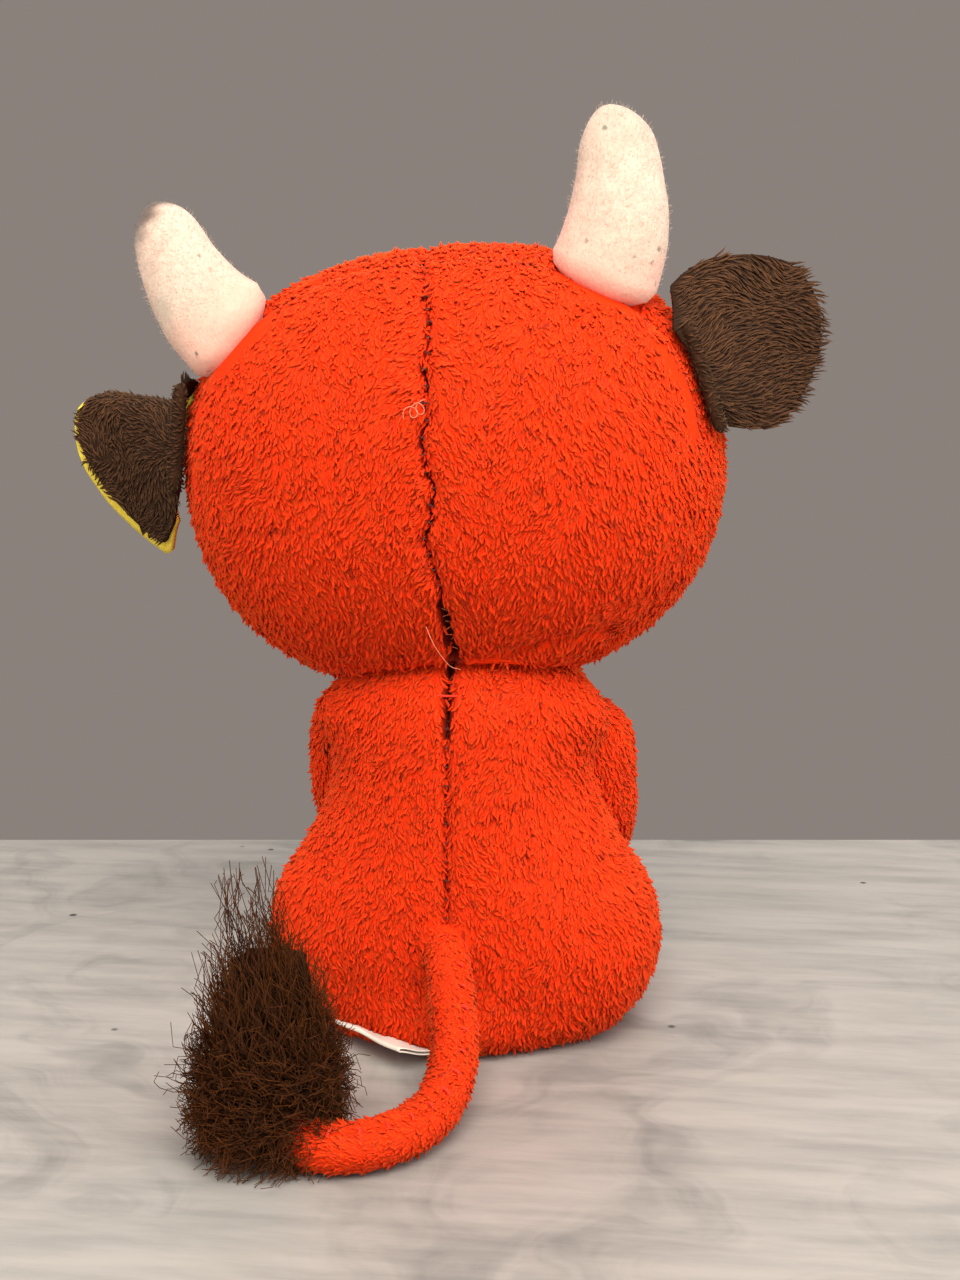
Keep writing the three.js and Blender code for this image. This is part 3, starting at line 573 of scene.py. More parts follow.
def pile_tone_group():
    """Colour of pile, darker towards its root as painted shade and lighter towards its tip as a painted
    highlight, varied from tuft to tuft and over the cloth
    """
    tree, given, out = new_group("pile_tone", "ShaderNodeTree", {
        "Position": (VECTOR, None), "Root": (COLOUR, (0.1, 0.01, 0.01, 1)),
        "Middle": (COLOUR, (0.6, 0.05, 0.02, 1)), "Tip": (COLOUR, (0.9, 0.2, 0.1, 1)),
        "Along": (VALUE, 0.5), "Shade": (VALUE, 0.5), "Contrast": (VALUE, 0.3), "Dashes": (VALUE, 0.04),
    }, {"Color": COLOUR, "Roughness": VALUE})
    # Painted shade towards the root, then a painted highlight towards the tip
    low = mix(tree, ranged(tree, given["Along"], 0.05, 0.6), given["Root"], given["Middle"])
    high = mix(tree, ranged(tree, given["Along"], 0.62, 1.0), low, given["Tip"])
    cloud = noise(tree, given["Position"], 90)
    hairs = noise(tree, given["Position"], 2600, 2.0)
    uneven = combined(tree, "ADD", cloud, combined(tree, "SUBTRACT", hairs, 1.0))
    bright = combined(tree, "ADD", given["Shade"], uneven)
    least = combined(tree, "SUBTRACT", 1.0, given["Contrast"])
    gain = node(tree, "ShaderNodeMapRange", {"Value": bright, "To Min": least}).outputs["Result"]
    patch = noise(tree, given["Position"], 420, 1.0)
    # Painted shade: a few tufts, more of them in patches, are darkened into dashes like the shade in partings
    # of the pile
    chance = combined(tree, "MULTIPLY", given["Dashes"], ranged(tree, patch, 0.35, 0.75, 0.0, 2.5))
    shaded_dash = combined(tree, "LESS_THAN", given["Shade"], chance)
    dash_shade = combined(tree, "SUBTRACT", 1.0, combined(tree, "MULTIPLY", shaded_dash, DASH_SHADE))
    gain = combined(tree, "MULTIPLY", gain, dash_shade)
    level = node(tree, "ShaderNodeCombineColor", {0: gain, 1: gain, 2: gain}).outputs["Color"]
    feed(out, "Color", mix(tree, 1.0, high, level, "MULTIPLY"))
    feed(out, "Roughness", ranged(tree, given["Shade"], 0, 1, 0.8, 0.95))
    return tree


def felt_grain_group():
    """Matted fibres of felt: a mottled shade and a fine height"""
    tree, given, out = new_group("felt_grain", "ShaderNodeTree", {
        "Position": (VECTOR, None), "Coarse": (VALUE, 500.0), "Fine": (VALUE, 2600.0),
    }, {"Shade": VALUE, "Height": VALUE})
    coarse = noise(tree, given["Position"], given["Coarse"], 4.0, 0.6)
    stretched = node(tree, "ShaderNodeMapping", {"Vector": given["Position"], "Scale": (1, 0.35, 0.6)})
    fine = noise(tree, stretched.outputs["Vector"], given["Fine"], 3.0, 0.7)
    matted = combined(tree, "ADD", coarse, fine)
    feed(out, "Shade", ranged(tree, matted, 0.65, 1.35))
    feed(out, "Height", matted)
    return tree


def soiling_group():
    """Spots and smudges of dirt"""
    tree, given, out = new_group("soiling", "ShaderNodeTree", {
        "Position": (VECTOR, None), "Spot scale": (VALUE, 420.0), "Amount": (VALUE, 0.5),
    }, {"Spots": VALUE, "Smudge": VALUE})
    cells = node(tree, "ShaderNodeTexVoronoi", {"Vector": given["Position"], "Scale": given["Spot scale"]})
    broken = noise(tree, given["Position"], 1500, 2.0)
    edge = combined(tree, "ADD", cells.outputs["Distance"], combined(tree, "MULTIPLY", broken, 0.35))
    patch = ranged(tree, noise(tree, given["Position"], 160, 2.0), 0.5, 0.68)
    spots = combined(tree, "MULTIPLY", ranged(tree, edge, 0.4, 0.26), patch)
    feed(out, "Spots", combined(tree, "MULTIPLY", spots, given["Amount"]))
    smudge = ranged(tree, noise(tree, given["Position"], 110, 3.0), 0.48, 0.7)
    feed(out, "Smudge", combined(tree, "MULTIPLY", smudge, given["Amount"]))
    return tree


def twist_group():
    """The turns of twisted yarn, as a height and a shade"""
    tree, given, out = new_group("yarn_twist", "ShaderNodeTree", {
        "Position": (VECTOR, None), "Turns": (VALUE, 1400.0),
    }, {"Shade": VALUE, "Height": VALUE})
    wave = node(tree, "ShaderNodeTexWave", {
        "Vector": given["Position"], "Scale": given["Turns"], "Distortion": 2.0, "Detail": 2.0,
        "Detail Scale": 2.0,
    }, bands_direction="DIAGONAL").outputs["Fac"]
    fibre = noise(tree, given["Position"], 4000, 2.0)
    feed(out, "Height", wave)
    feed(out, "Shade", ranged(tree, combined(tree, "ADD", wave, fibre), 0.3, 1.5))
    return tree


TREES = {}


def built(maker):
    """A node group, built the first time that it is asked for"""
    if maker not in TREES:
        TREES[maker] = maker()
    return TREES[maker]


def place_group(tree, maker, inputs):
    """Puts a shared shader group into a material"""
    return node(tree, "ShaderNodeGroup", inputs, node_tree=built(maker)).outputs


def new_material(name, constants):
    """An empty material with its shader, whose even values are set on its own sockets"""
    material = bpy.data.materials.new(name)
    material.use_nodes = True
    tree = material.node_tree
    tree.nodes.clear()
    shader = node(tree, "ShaderNodeBsdfPrincipled", constants)
    node(tree, "ShaderNodeOutputMaterial", {"Surface": shader.outputs["BSDF"]})
    position = node(tree, "ShaderNodeTexCoord").outputs["Object"]
    return material, tree, shader, position


def attribute(tree, name):
    """A value that the mesh carries"""
    return node(tree, "ShaderNodeAttribute", attribute_name=name).outputs["Fac"]


def embossed(tree, shader, height, strength, distance):
    """Gives a shader a fine relief"""
    relief = node(tree, "ShaderNodeBump", {"Height": height, "Strength": strength, "Distance": distance})
    feed(shader, "Normal", relief.outputs["Normal"])


def rgba(colour, gain=1.0):
    """A colour with its alpha, made lighter or darker"""
    return (*(min(c * gain, 1.0) for c in colour[:3]), 1.0)


def soft_normal(tree, shader, share):
    """Lights hairs partly as the cloth that they stand on, which makes the pile look soft"""
    stand = node(tree, "ShaderNodeAttribute", attribute_name="stand").outputs["Vector"]
    turned = node(tree, "ShaderNodeVectorTransform", {"Vector": stand}, vector_type="NORMAL",
                  convert_from="OBJECT", convert_to="WORLD").outputs["Vector"]
    own = node(tree, "ShaderNodeNewGeometry").outputs["Normal"]
    both = vectors(tree, "ADD", own, scaled(tree, turned, share))
    feed(shader, "Normal", vectors(tree, "NORMALIZE", both))


def pile_material(name, root, middle, tip, sheen, contrast, dashes=0.0, soft=2.5, glow=0.0):
    """Standing pile: painted shade towards its root and a painted highlight towards its tip, with a sheen,
    and letting some light through
    """
    material, tree, shader, position = new_material(name, {
        "Sheen Weight": sheen[0], "Sheen Roughness": 0.4, "Sheen Tint": rgba(sheen[1]),
        "Specular IOR Level": 0.15, "Subsurface Weight": glow, "Subsurface Radius": (1.0, 0.3, 0.15),
        "Subsurface Scale": 0.0008,
    })
    soft_normal(tree, shader, soft)
    tone = place_group(tree, pile_tone_group, {
        "Position": position, "Root": rgba(root), "Middle": rgba(middle), "Tip": rgba(tip),
        "Along": attribute(tree, "along"), "Shade": attribute(tree, "shade"), "Contrast": contrast,
        "Dashes": dashes,
    })
    feed(shader, "Base Color", tone["Color"])
    feed(shader, "Roughness", tone["Roughness"])
    return material


SOIL = (0.1, 0.11, 0.08)
# How dark the deep attribute makes a colour: painted shade in seams and holes, and stains on the horns
SHADE_AND_STAIN = 0.12


def felt_material(name, dark, light, fine=2600.0, bump=0.35, soil=0.0, tint=None, sheen=0.0):
    """Felt, woven backing or brushed fibre, with mottling, a fine relief, dirt where it is asked for, and
    darkening by its deep attribute: painted shade in seams and holes, and a stain at the horns' tips
    """
    material, tree, shader, position = new_material(name, {
        "Roughness": 0.95, "Sheen Weight": sheen, "Sheen Roughness": 0.5, "Specular IOR Level": 0.1,
    })
    grain = place_group(tree, felt_grain_group, {"Position": position, "Fine": fine})
    colour = mix(tree, grain["Shade"], rgba(dark), rgba(light))
    # Darkens by the mesh's deep: painted shade in seams, holes and bare specks, and a real stain at the
    # horns' tips
    colour = mix(tree, attribute(tree, "deep"), colour, rgba(Vector(dark) * SHADE_AND_STAIN))
    if tint:
        reach = ranged(tree, attribute(tree, "along"), 0.45, 0.0)
        colour = mix(tree, combined(tree, "MULTIPLY", reach, 0.55), colour, rgba(tint))
    if soil:
        dirt = place_group(tree, soiling_group, {"Position": position, "Amount": soil})
        colour = mix(tree, combined(tree, "MULTIPLY", dirt["Smudge"], 0.3), colour, rgba(SOIL, 3.0))
        colour = mix(tree, dirt["Spots"], colour, rgba(SOIL))
    feed(shader, "Base Color", colour)
    embossed(tree, shader, grain["Height"], bump, 0.0002)
    return material


def thread_material(name, dark, light):
    """Sewing thread, with its twist"""
    material, tree, shader, position = new_material(name, {
        "Roughness": 0.75, "Sheen Weight": 0.05, "Specular IOR Level": 0.25,
    })
    twist = place_group(tree, twist_group, {"Position": position})
    feed(shader, "Base Color", mix(tree, twist["Shade"], rgba(dark), rgba(light)))
    embossed(tree, shader, twist["Height"], 0.5, 0.00015)
    return material


def ribbon_material(name, colour):
    """Satin ribbon: fine cross ribs, a low gloss and a little soil"""
    material, tree, shader, position = new_material(name, {"Sheen Weight": 0.2, "Specular IOR Level": 0.5})
    ribs = node(tree, "ShaderNodeTexWave", {"Vector": position, "Scale": 900.0, "Distortion": 0.3},
                bands_direction="DIAGONAL").outputs["Fac"]
    dirt = place_group(tree, soiling_group, {"Position": position, "Amount": 0.6})
    shade = mix(tree, ribs, rgba(colour, 0.82), rgba(colour))
    shade = mix(tree, combined(tree, "MULTIPLY", dirt["Smudge"], 0.5), shade, rgba((0.35, 0.27, 0.2)))
    feed(shader, "Base Color", shade)
    feed(shader, "Roughness", ranged(tree, ribs, 0, 1, 0.5, 0.35))
    embossed(tree, shader, ribs, 0.25, 0.0001)
    return material


def plastic_material(name, colour, gloss, coat=0.0):
    """Moulded plastic with a faint orange-peel surface and fine wear"""
    material, tree, shader, position = new_material(name, {"Coat Weight": coat, "Coat Roughness": 0.05})
    wear = noise(tree, position, 900, 4.0)
    feed(shader, "Base Color", mix(tree, wear, rgba(colour, 0.85), rgba(colour)))
    feed(shader, "Roughness", ranged(tree, wear, 0.3, 0.7, gloss, gloss + 0.12))
    embossed(tree, shader, wear, 0.08, 0.0001)
    return material


def table_material(base, vein):
    """Honed pale stone with broad soft veins and a few grains"""
    material, tree, shader, position = new_material("table_stone", {"Specular IOR Level": 0.35})
    warp = clouds(tree, position, 9.0, 4.0)
    moved = vectors(tree, "MULTIPLY_ADD", position, warp, warp)
    streaks = noise(tree, node(tree, "ShaderNodeMapping", {
        "Vector": moved, "Rotation": (0, 0, 0.5), "Scale": (1, 4, 1),
    }).outputs["Vector"], 5.0, 5.0)
    veins = ranged(tree, streaks, 0.45, 0.75)
    brushed = noise(tree, node(tree, "ShaderNodeMapping", {
        "Vector": position, "Rotation": (0, 0, -0.15), "Scale": (0.16, 1, 1),
    }).outputs["Vector"], 160.0, 5.0, 0.65)
    cloudy = ranged(tree, brushed, 0.3, 0.8, 0.0, 0.5)
    patchy = combined(tree, "ADD", combined(tree, "MULTIPLY", veins, 0.45), cloudy)
    colour = mix(tree, patchy, rgba(base), rgba(vein))
    grains = node(tree, "ShaderNodeTexVoronoi", {"Vector": position, "Scale": 55.0}).outputs["Distance"]
    colour = mix(tree, ranged(tree, grains, 0.05, 0.025), colour, rgba(vein, 0.4))
    feed(shader, "Base Color", colour)
    feed(shader, "Roughness", ranged(tree, streaks, 0.3, 0.7, 0.42, 0.58))
    return material


# Geometry Nodes

def carried(tree, name, kind="FLOAT"):
    """What the points of a mesh carry under a name"""
    return node(tree, "GeometryNodeInputNamedAttribute", {"Name": name}, data_type=kind).outputs["Attribute"]


def random_between(tree, low, high, seed):
    """A random value for each point"""
    made = node(tree, "FunctionNodeRandomValue", {2: low, 3: high, "Seed": seed}, data_type="FLOAT")
    return made.outputs[1]


def random_push(tree, reach, seed):
    """A random vector for each point"""
    ends = {0: (-reach,) * 3, 1: (reach,) * 3, "Seed": seed}
    return node(tree, "FunctionNodeRandomValue", ends, data_type="FLOAT_VECTOR").outputs[0]


def copied(tree, points, form, up, forward, scale):
    """Copies of an object on points, which stand along one direction and face along another"""
    standing = node(tree, "FunctionNodeAlignRotationToVector", {"Vector": up}, axis="Z")
    turned = node(tree, "FunctionNodeAlignRotationToVector", {
        "Rotation": standing.outputs[0], "Vector": forward,
    }, axis="X", pivot_axis="Z")
    shape = node(tree, "GeometryNodeObjectInfo", {"Object": form}).outputs["Geometry"]
    return node(tree, "GeometryNodeInstanceOnPoints", {
        "Points": points, "Instance": shape, "Rotation": turned.outputs[0], "Scale": scale,
    }).outputs[0]


def labelled(tree, copies, name, value, kind):
    """Copies that carry a value under a name"""
    return node(tree, "GeometryNodeStoreNamedAttribute", {
        "Geometry": copies, "Name": name, "Value": value,
    }, data_type=kind, domain="INSTANCE").outputs[0]


def put_out(tree, geometry, material, out):
    """Ends a tree: its copies made real, in one material"""
    real = node(tree, "GeometryNodeRealizeInstances", {"Geometry": geometry})
    finished = node(tree, "GeometryNodeSetMaterial", {"Geometry": real.outputs[0], "Material": material})
    feed(out, 0, finished.outputs[0])
    return tree


def pile_tree():
    """Grows small tufts of pile over a surface, combed along its "comb" and thinned by its "pile" """
    tree, given, out = new_group("plush_pile", "GeometryNodeTree", {
        "Surface": (MESH, None), "Tuft": (OBJECT, None), "Spacing": (VALUE, 0.0005), "Length": (VALUE, 0.002),
        "Width": (VALUE, 0.00045), "Lean": (VALUE, 0.55), "Tangle": (VALUE, 0.35), "Seed": (WHOLE, 1),
        "Material": (FINISH, None),
    }, {"Pile": MESH})
    seeds = [combined(tree, "ADD", given["Seed"], shift) for shift in range(1, 6)]
    plot = combined(tree, "MULTIPLY", given["Spacing"], given["Spacing"])
    scatter = node(tree, "GeometryNodeDistributePointsOnFaces", {
        "Mesh": given["Surface"], "Distance Min": given["Spacing"],
        "Density Max": combined(tree, "DIVIDE", 0.95, plot),
        "Density Factor": carried(tree, "pile"), "Seed": given["Seed"],
    }, distribute_method="POISSON")
    normal = scatter.outputs["Normal"]
    spot = node(tree, "GeometryNodeInputPosition").outputs["Position"]
    swirl, clump = (scaled(tree, vectors(tree, "SUBTRACT", clouds(tree, spot, fine), (0.5, 0.5, 0.5)), size)
                    for fine, size in ((150.0, 2.2), (620.0, 2.4)))
    combing = vectors(tree, "ADD", carried(tree, "comb", "FLOAT_VECTOR"), swirl)
    lift = node(tree, "ShaderNodeVectorMath", {0: combing, 1: normal},
                operation="DOT_PRODUCT").outputs["Value"]
    lying = vectors(tree, "NORMALIZE", vectors(tree, "SUBTRACT", combing, scaled(tree, normal, lift)))
    upright = combined(tree, "SUBTRACT", 1.0, given["Lean"])
    ordered = vectors(tree, "ADD", scaled(tree, normal, upright), scaled(tree, lying, given["Lean"]))
    untidy = vectors(tree, "ADD", clump, random_push(tree, 0.5, seeds[0]))
    direction = vectors(tree, "ADD", ordered, scaled(tree, untidy, given["Tangle"]))
    about = vectors(tree, "ADD", lying, random_push(tree, 0.6, seeds[1]))
    growth = random_between(tree, 0.72, 1.18, seeds[2])
    width = combined(tree, "MULTIPLY", given["Width"], random_between(tree, 0.75, 1.25, seeds[3]))
    size = node(tree, "ShaderNodeCombineXYZ", {
        "X": width, "Y": width, "Z": combined(tree, "MULTIPLY", given["Length"], growth),
    }).outputs["Vector"]
    grown = copied(tree, scatter.outputs["Points"], given["Tuft"], direction, about, size)
    grown = labelled(tree, grown, "shade", random_between(tree, 0.0, 1.0, seeds[4]), "FLOAT")
    grown = labelled(tree, grown, "stand", normal, "FLOAT_VECTOR")
    return put_out(tree, grown, given["Material"], out)


def strand_tree():
    """Turns drawn lines into thin strands, whose "thin" tapers them"""
    tree, given, out = new_group("strands", "GeometryNodeTree", {
        "Lines": (MESH, None), "Radius": (VALUE, 0.0002), "Sides": (WHOLE, 3), "Material": (FINISH, None),
    }, {"Strands": MESH})
    lines = node(tree, "GeometryNodeMeshToCurve", {"Mesh": given["Lines"]})
    sized = node(tree, "GeometryNodeSetCurveRadius", {
        "Curve": lines.outputs[0], "Radius": carried(tree, "thin"),
    })
    ring = node(tree, "GeometryNodeCurvePrimitiveCircle", {
        "Resolution": given["Sides"], "Radius": given["Radius"],
    })
    tube = node(tree, "GeometryNodeCurveToMesh", {
        "Curve": sized.outputs[0], "Profile Curve": ring.outputs[0], "Fill Caps": True,
    })
    return put_out(tree, tube.outputs[0], given["Material"], out)


def stitch_tree():
    """Sets a stitch at every step along a drawn line, across it, and turned to its "up" """
    tree, given, out = new_group("stitch_row", "GeometryNodeTree", {
        "Line": (MESH, None), "Stitch": (OBJECT, None), "Step": (VALUE, 0.0025), "Size": (VALUE, 0.001),
        "Seed": (WHOLE, 1), "Material": (FINISH, None),
    }, {"Stitches": MESH})
    lines = node(tree, "GeometryNodeMeshToCurve", {"Mesh": given["Line"]})
    steps = node(tree, "GeometryNodeCurveToPoints", {
        "Curve": lines.outputs[0], "Length": given["Step"],
    }, mode="LENGTH")
    up = carried(tree, "up", "FLOAT_VECTOR")
    size = combined(tree, "MULTIPLY", given["Size"], random_between(tree, 0.75, 1.2, given["Seed"]))
    scale = node(tree, "ShaderNodeCombineXYZ", {"X": size, "Y": size, "Z": size}).outputs["Vector"]
    sewn = copied(tree, steps.outputs["Points"], given["Stitch"], up, steps.outputs["Tangent"], scale)
    return put_out(tree, sewn, given["Material"], out)


def run_tree(obj, maker, inputs):
    """Runs a Geometry Nodes tree on an object and gives the mesh that comes out"""
    tree = built(maker)
    modifier = obj.modifiers.new(tree.name, "NODES")
    modifier.node_group = tree
    for item in tree.interface.items_tree:
        if item.in_out == "INPUT" and item.name in inputs:
            modifier[item.identifier] = inputs[item.name]
    mesh = evaluated_mesh(obj)
    obj.modifiers.remove(modifier)
    return mesh


def mould(name, points, faces):
    """A small form that Geometry Nodes repeat, kept out of the scene"""
    mesh = bpy.data.meshes.new(name)
    mesh.from_pydata(points.tolist(), [], faces)
    smooth(mesh)
    return bpy.data.objects.new(name, mesh)


def tuft_mould():
    """One tuft of pile, a unit high and about a unit wide, bending over as it rises"""
    if "pile_tuft" in bpy.data.objects:
        return bpy.data.objects["pile_tuft"]
    root = oval((0, 0, -0.15), 0.8 * X, Y, turns(3), 0.44)
    middle = oval((0.35, 0, 0.6), 0.8 * X, Y, turns(3), 0.4)
    points, faces = sheet_of_rings([root, middle], close_start=False, close_end=False)
    points = np.vstack([points, (1.0, 0, 1.0)])
    faces += [(3 + i, 3 + (i + 1) % 3, 6) for i in range(3)]
    tuft = mould("pile_tuft", points, faces)
    paint(tuft, "along", np.clip(points[:, 2], 0, 1))
    return tuft


def stitch_mould():
    """One short stitch that lies across a seam, a unit wide, with its ends sunk into the cloth"""
    if "seam_stitch" in bpy.data.objects:
        return bpy.data.objects["seam_stitch"]
    thickness, length, slant, arch, sunk = 0.16, 0.5, 0.12, 0.28, 0.12
    rings = [oval((slant * share, length * share, arch * (1 - share ** 2) - sunk), X, Z, turns(6), thickness)
             for share in np.linspace(-1, 1, 7)]
    return mould("seam_stitch", *sheet_of_rings(rings))


def lines_object(name, lines, **values):
    """A mesh of drawn lines, in millimetres, with what each of their points carries"""
    points = np.vstack(lines)
    edges, start = [], 0
    for line in lines:
        edges += [(start + i, start + i + 1) for i in range(len(line) - 1)]
        start += len(line)
    mesh = bpy.data.meshes.new(name)
    mesh.from_pydata((points * MM).tolist(), edges, [])
    obj = add_object(name, mesh)
    for key, rows in {"thin": [np.ones(len(points))], **values}.items():
        paint(obj, key, np.concatenate(rows))
    return obj


def strands(name, lines, radius, sides, material, **values):
    """Thin strands or threads along drawn lines, as one object"""
    drawn = lines_object(name, lines, **values)
    inputs = {"Radius": radius * MM, "Sides": sides, "Material": MATERIALS[material]}
    set_mesh(drawn, run_tree(drawn, strand_tree, inputs))
    smooth(drawn.data)
    return drawn


def stitches(name, line, up, step, size, seed, material):
    """A row of stitches along a drawn line, as one object"""
    drawn = lines_object(name, [line], up=[up])
    set_mesh(drawn, run_tree(drawn, stitch_tree, {
        "Stitch": stitch_mould(), "Step": step * MM, "Size": size * MM, "Seed": seed,
        "Material": MATERIALS[material],
    }))
    return drawn


LEAST_HEIGHT = 0.05


def with_pile(skin, wall, backing, pile, length, spacing, width, lean, tangle, seed):
    """Turns an open surface into a wall of cloth with its pile standing on it"""
    mesh = run_tree(skin, pile_tree, {
        "Tuft": tuft_mould(), "Spacing": spacing * MM, "Length": length * MM, "Width": width * MM,
        "Lean": lean, "Tangle": tangle, "Seed": seed, "Material": MATERIALS[pile],
    })
    if wall:
        walled(skin, wall)
    for name in ("pile", "comb"):
        if name in skin.data.attributes:
            skin.data.attributes.remove(skin.data.attributes[name])
    dress(skin, backing)
    if len(mesh.vertices):
        merged(skin, add_object(f"{skin.name}_pile", mesh))
    kept_above(skin, LEAST_HEIGHT)
    return skin


def finish_piece(obj, body, replaces=(), blend=None):
    """Hides the parts of the model that a piece replaces, then parents it to the body that it moves with or,
    for a blend, bakes its place into its mesh
    """
    if replaces:
        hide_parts(*replaces)
    if blend:
        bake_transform(obj)
    else:
        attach(obj, body)
    return obj


# Sewn panels

PUFF_SHARE = 0.35
SEAM_LOOPS = (0.5, 1.1, 1.9)
CLOTH = {
    "quality": 6, "mass": 0.3, "tension_stiffness": 18, "compression_stiffness": 18, "shear_stiffness": 8,
    "bending_stiffness": 0.8, "vertex_group_mass": "held", "pin_stiffness": 6, "use_pressure": True,
    "uniform_pressure_force": 4,
}
CLOTH_SCALE, CLOTH_STEPS = 0.01, 20


def panel(name, points, faces, keeps, seams, holes=()):
    """Cuts one panel out of a cover, between planes, with fine loops along its seams, and opens its holes"""
    bm = surface(points, faces)

    def cut(place, normal, **choice):
        bmesh.ops.bisect_plane(bm, geom=[*bm.verts, *bm.edges, *bm.faces], dist=1e-3, plane_co=place,
                               plane_no=normal, **choice)

    for point, normal in seams:
        for reach in SEAM_LOOPS:
            for way in (-1, 1):
                cut(np.asarray(point) + way * reach * np.asarray(normal), normal)
    for point, direction in keeps:
        direction = np.asarray(direction)
        cut(np.asarray(point) + SEWN_GAP / 2 * direction, -direction, clear_outer=True)
    for in_hole in holes:
        gone = in_hole(np.array([f.calc_center_median() for f in bm.faces]))
        bmesh.ops.delete(bm, geom=[f for f, out in zip(list(bm.faces), gone) if out], context="FACES")
    return object_from(name, bm)


def puffed(points, faces, held, puff):
    """Swells a cover with cloth simulation, with its seams held, and gives its new points"""
    bm = surface(points, faces)
    bmesh.ops.scale(bm, vec=(CLOTH_SCALE,) * 3, verts=bm.verts)
    mesh = bpy.data.meshes.new("swelling_cover")
    bm.to_mesh(mesh)
    bm.free()
    obj = add_object("swelling_cover", mesh)
    group = obj.vertex_groups.new(name="held")
    for i, weight in enumerate(held):
        if weight > 0.01:
            group.add([i], float(weight), "REPLACE")
    cloth = obj.modifiers.new("cloth", "CLOTH")
    for key, value in CLOTH.items():
        setattr(cloth.settings, key, value)
    cloth.settings.effector_weights.gravity = 0
    cloth.collision_settings.use_collision = False
    scene = bpy.context.scene
    for step in range(1, CLOTH_STEPS + 1):
        scene.frame_set(step)
    swollen = evaluated_mesh(obj)
    moved = np.empty(len(swollen.vertices) * 3)
    swollen.vertices.foreach_get("co", moved)
    bpy.data.objects.remove(obj)
    scene.frame_set(1)
    change = moved.reshape(-1, 3) / CLOTH_SCALE - points
    length = np.linalg.norm(change, axis=1, keepdims=True)
    return points + change * np.minimum(1, puff / np.maximum(length, 1e-6))


def groove(distance, depth, width):
    """The depth of a soft groove at a distance from its line"""
    return depth * np.exp(-(distance / width) ** 2)


def line_distance(points, line):
    """Distance from points to a line of straight stretches"""
    best = np.full(len(points), 1e9)
    for a, b in zip(line[:-1], line[1:]):
        a, b = np.asarray(a, float), np.asarray(b, float)
        share = np.clip((points - a) @ (b - a) / ((b - a) @ (b - a)), 0, 1)
        best = np.minimum(best, np.linalg.norm(points - a - share[:, None] * (b - a), axis=1))
    return best


# Settings

def colour_setting(name, description, default):
    """A colour that a user may change"""
    return bpy.props.FloatVectorProperty(name=name, description=description, default=default, subtype="COLOR",
                                         size=3, min=0, max=1)


def length_setting(name, description, default):
    """A length that a user may change"""
    return bpy.props.FloatProperty(name=name, description=description, default=default, unit="LENGTH", min=0,
                                   precision=5)


class PlushSettings(bpy.types.PropertyGroup):
    """Sizes and colours of the cow's cloth, felt and thread"""
    pile_length: length_setting("Pile length", "Length of the short plush pile", 0.0013)
    pile_spacing: length_setting("Pile spacing", "Least distance between two tufts of pile", 0.00035)
    pile_width: length_setting("Pile width", "Width of one tuft of pile", 0.0007)
    pile_lean: bpy.props.FloatProperty(name="Pile lean", description="How far the pile lies down",
                                       default=0.78, min=0, max=1, subtype="FACTOR")
    backing_depth: length_setting("Backing depth", "How far the cloth lies below its pile's middle", 0.0009)
    puff: length_setting("Puff", "How far stuffing may push a panel out between its seams", 0.0012)
    seam_depth: length_setting("Seam depth", "How deep a seam pulls the cloth in", 0.0012)
    ear_pile: length_setting("Ear pile length", "Length of the brown pile on the ears", 0.0022)
    tuft_strands: bpy.props.IntProperty(name="Tail strands", description="Number of hairs in the tail tuft",
                                        default=9000, min=100)
    red: colour_setting("Red plush", "Colour of the body's pile", (0.87, 0.033, 0.0015))
    brown: colour_setting("Brown plush", "Colour of the ears and hooves", (0.088, 0.036, 0.014))
    tuft: colour_setting("Tail tuft", "Colour of the tail's long hair", (0.05, 0.0125, 0.0008))
    cream: colour_setting("Cream plush", "Colour of the muzzle", (0.78, 0.62, 0.42))
    felt: colour_setting("Horn felt", "Colour of the horns", (0.67, 0.47, 0.355))
    yellow: colour_setting("Ear felt", "Colour of the ear linings", (0.82, 0.62, 0.07))
    thread: colour_setting("Pale thread", "Colour of the thread in the head's seam", (0.72, 0.2, 0.1))


class TableSettings(bpy.types.PropertyGroup):
    """The table, the light and the camera"""
    stone: colour_setting("Table", "Colour of the table top", (0.36, 0.322, 0.282))
    wall: colour_setting("Wall", "Colour of the wall behind the table", (0.255, 0.22, 0.2))
    lens: bpy.props.FloatProperty(name="Lens", description="Focal length", default=53.44, min=1,
                                  unit="CAMERA")
    table_reach: length_setting("Table reach", "From the camera to the table's far edge", 0.385)


def plush():
    """The cow's settings"""
    return bpy.context.scene.plush_settings


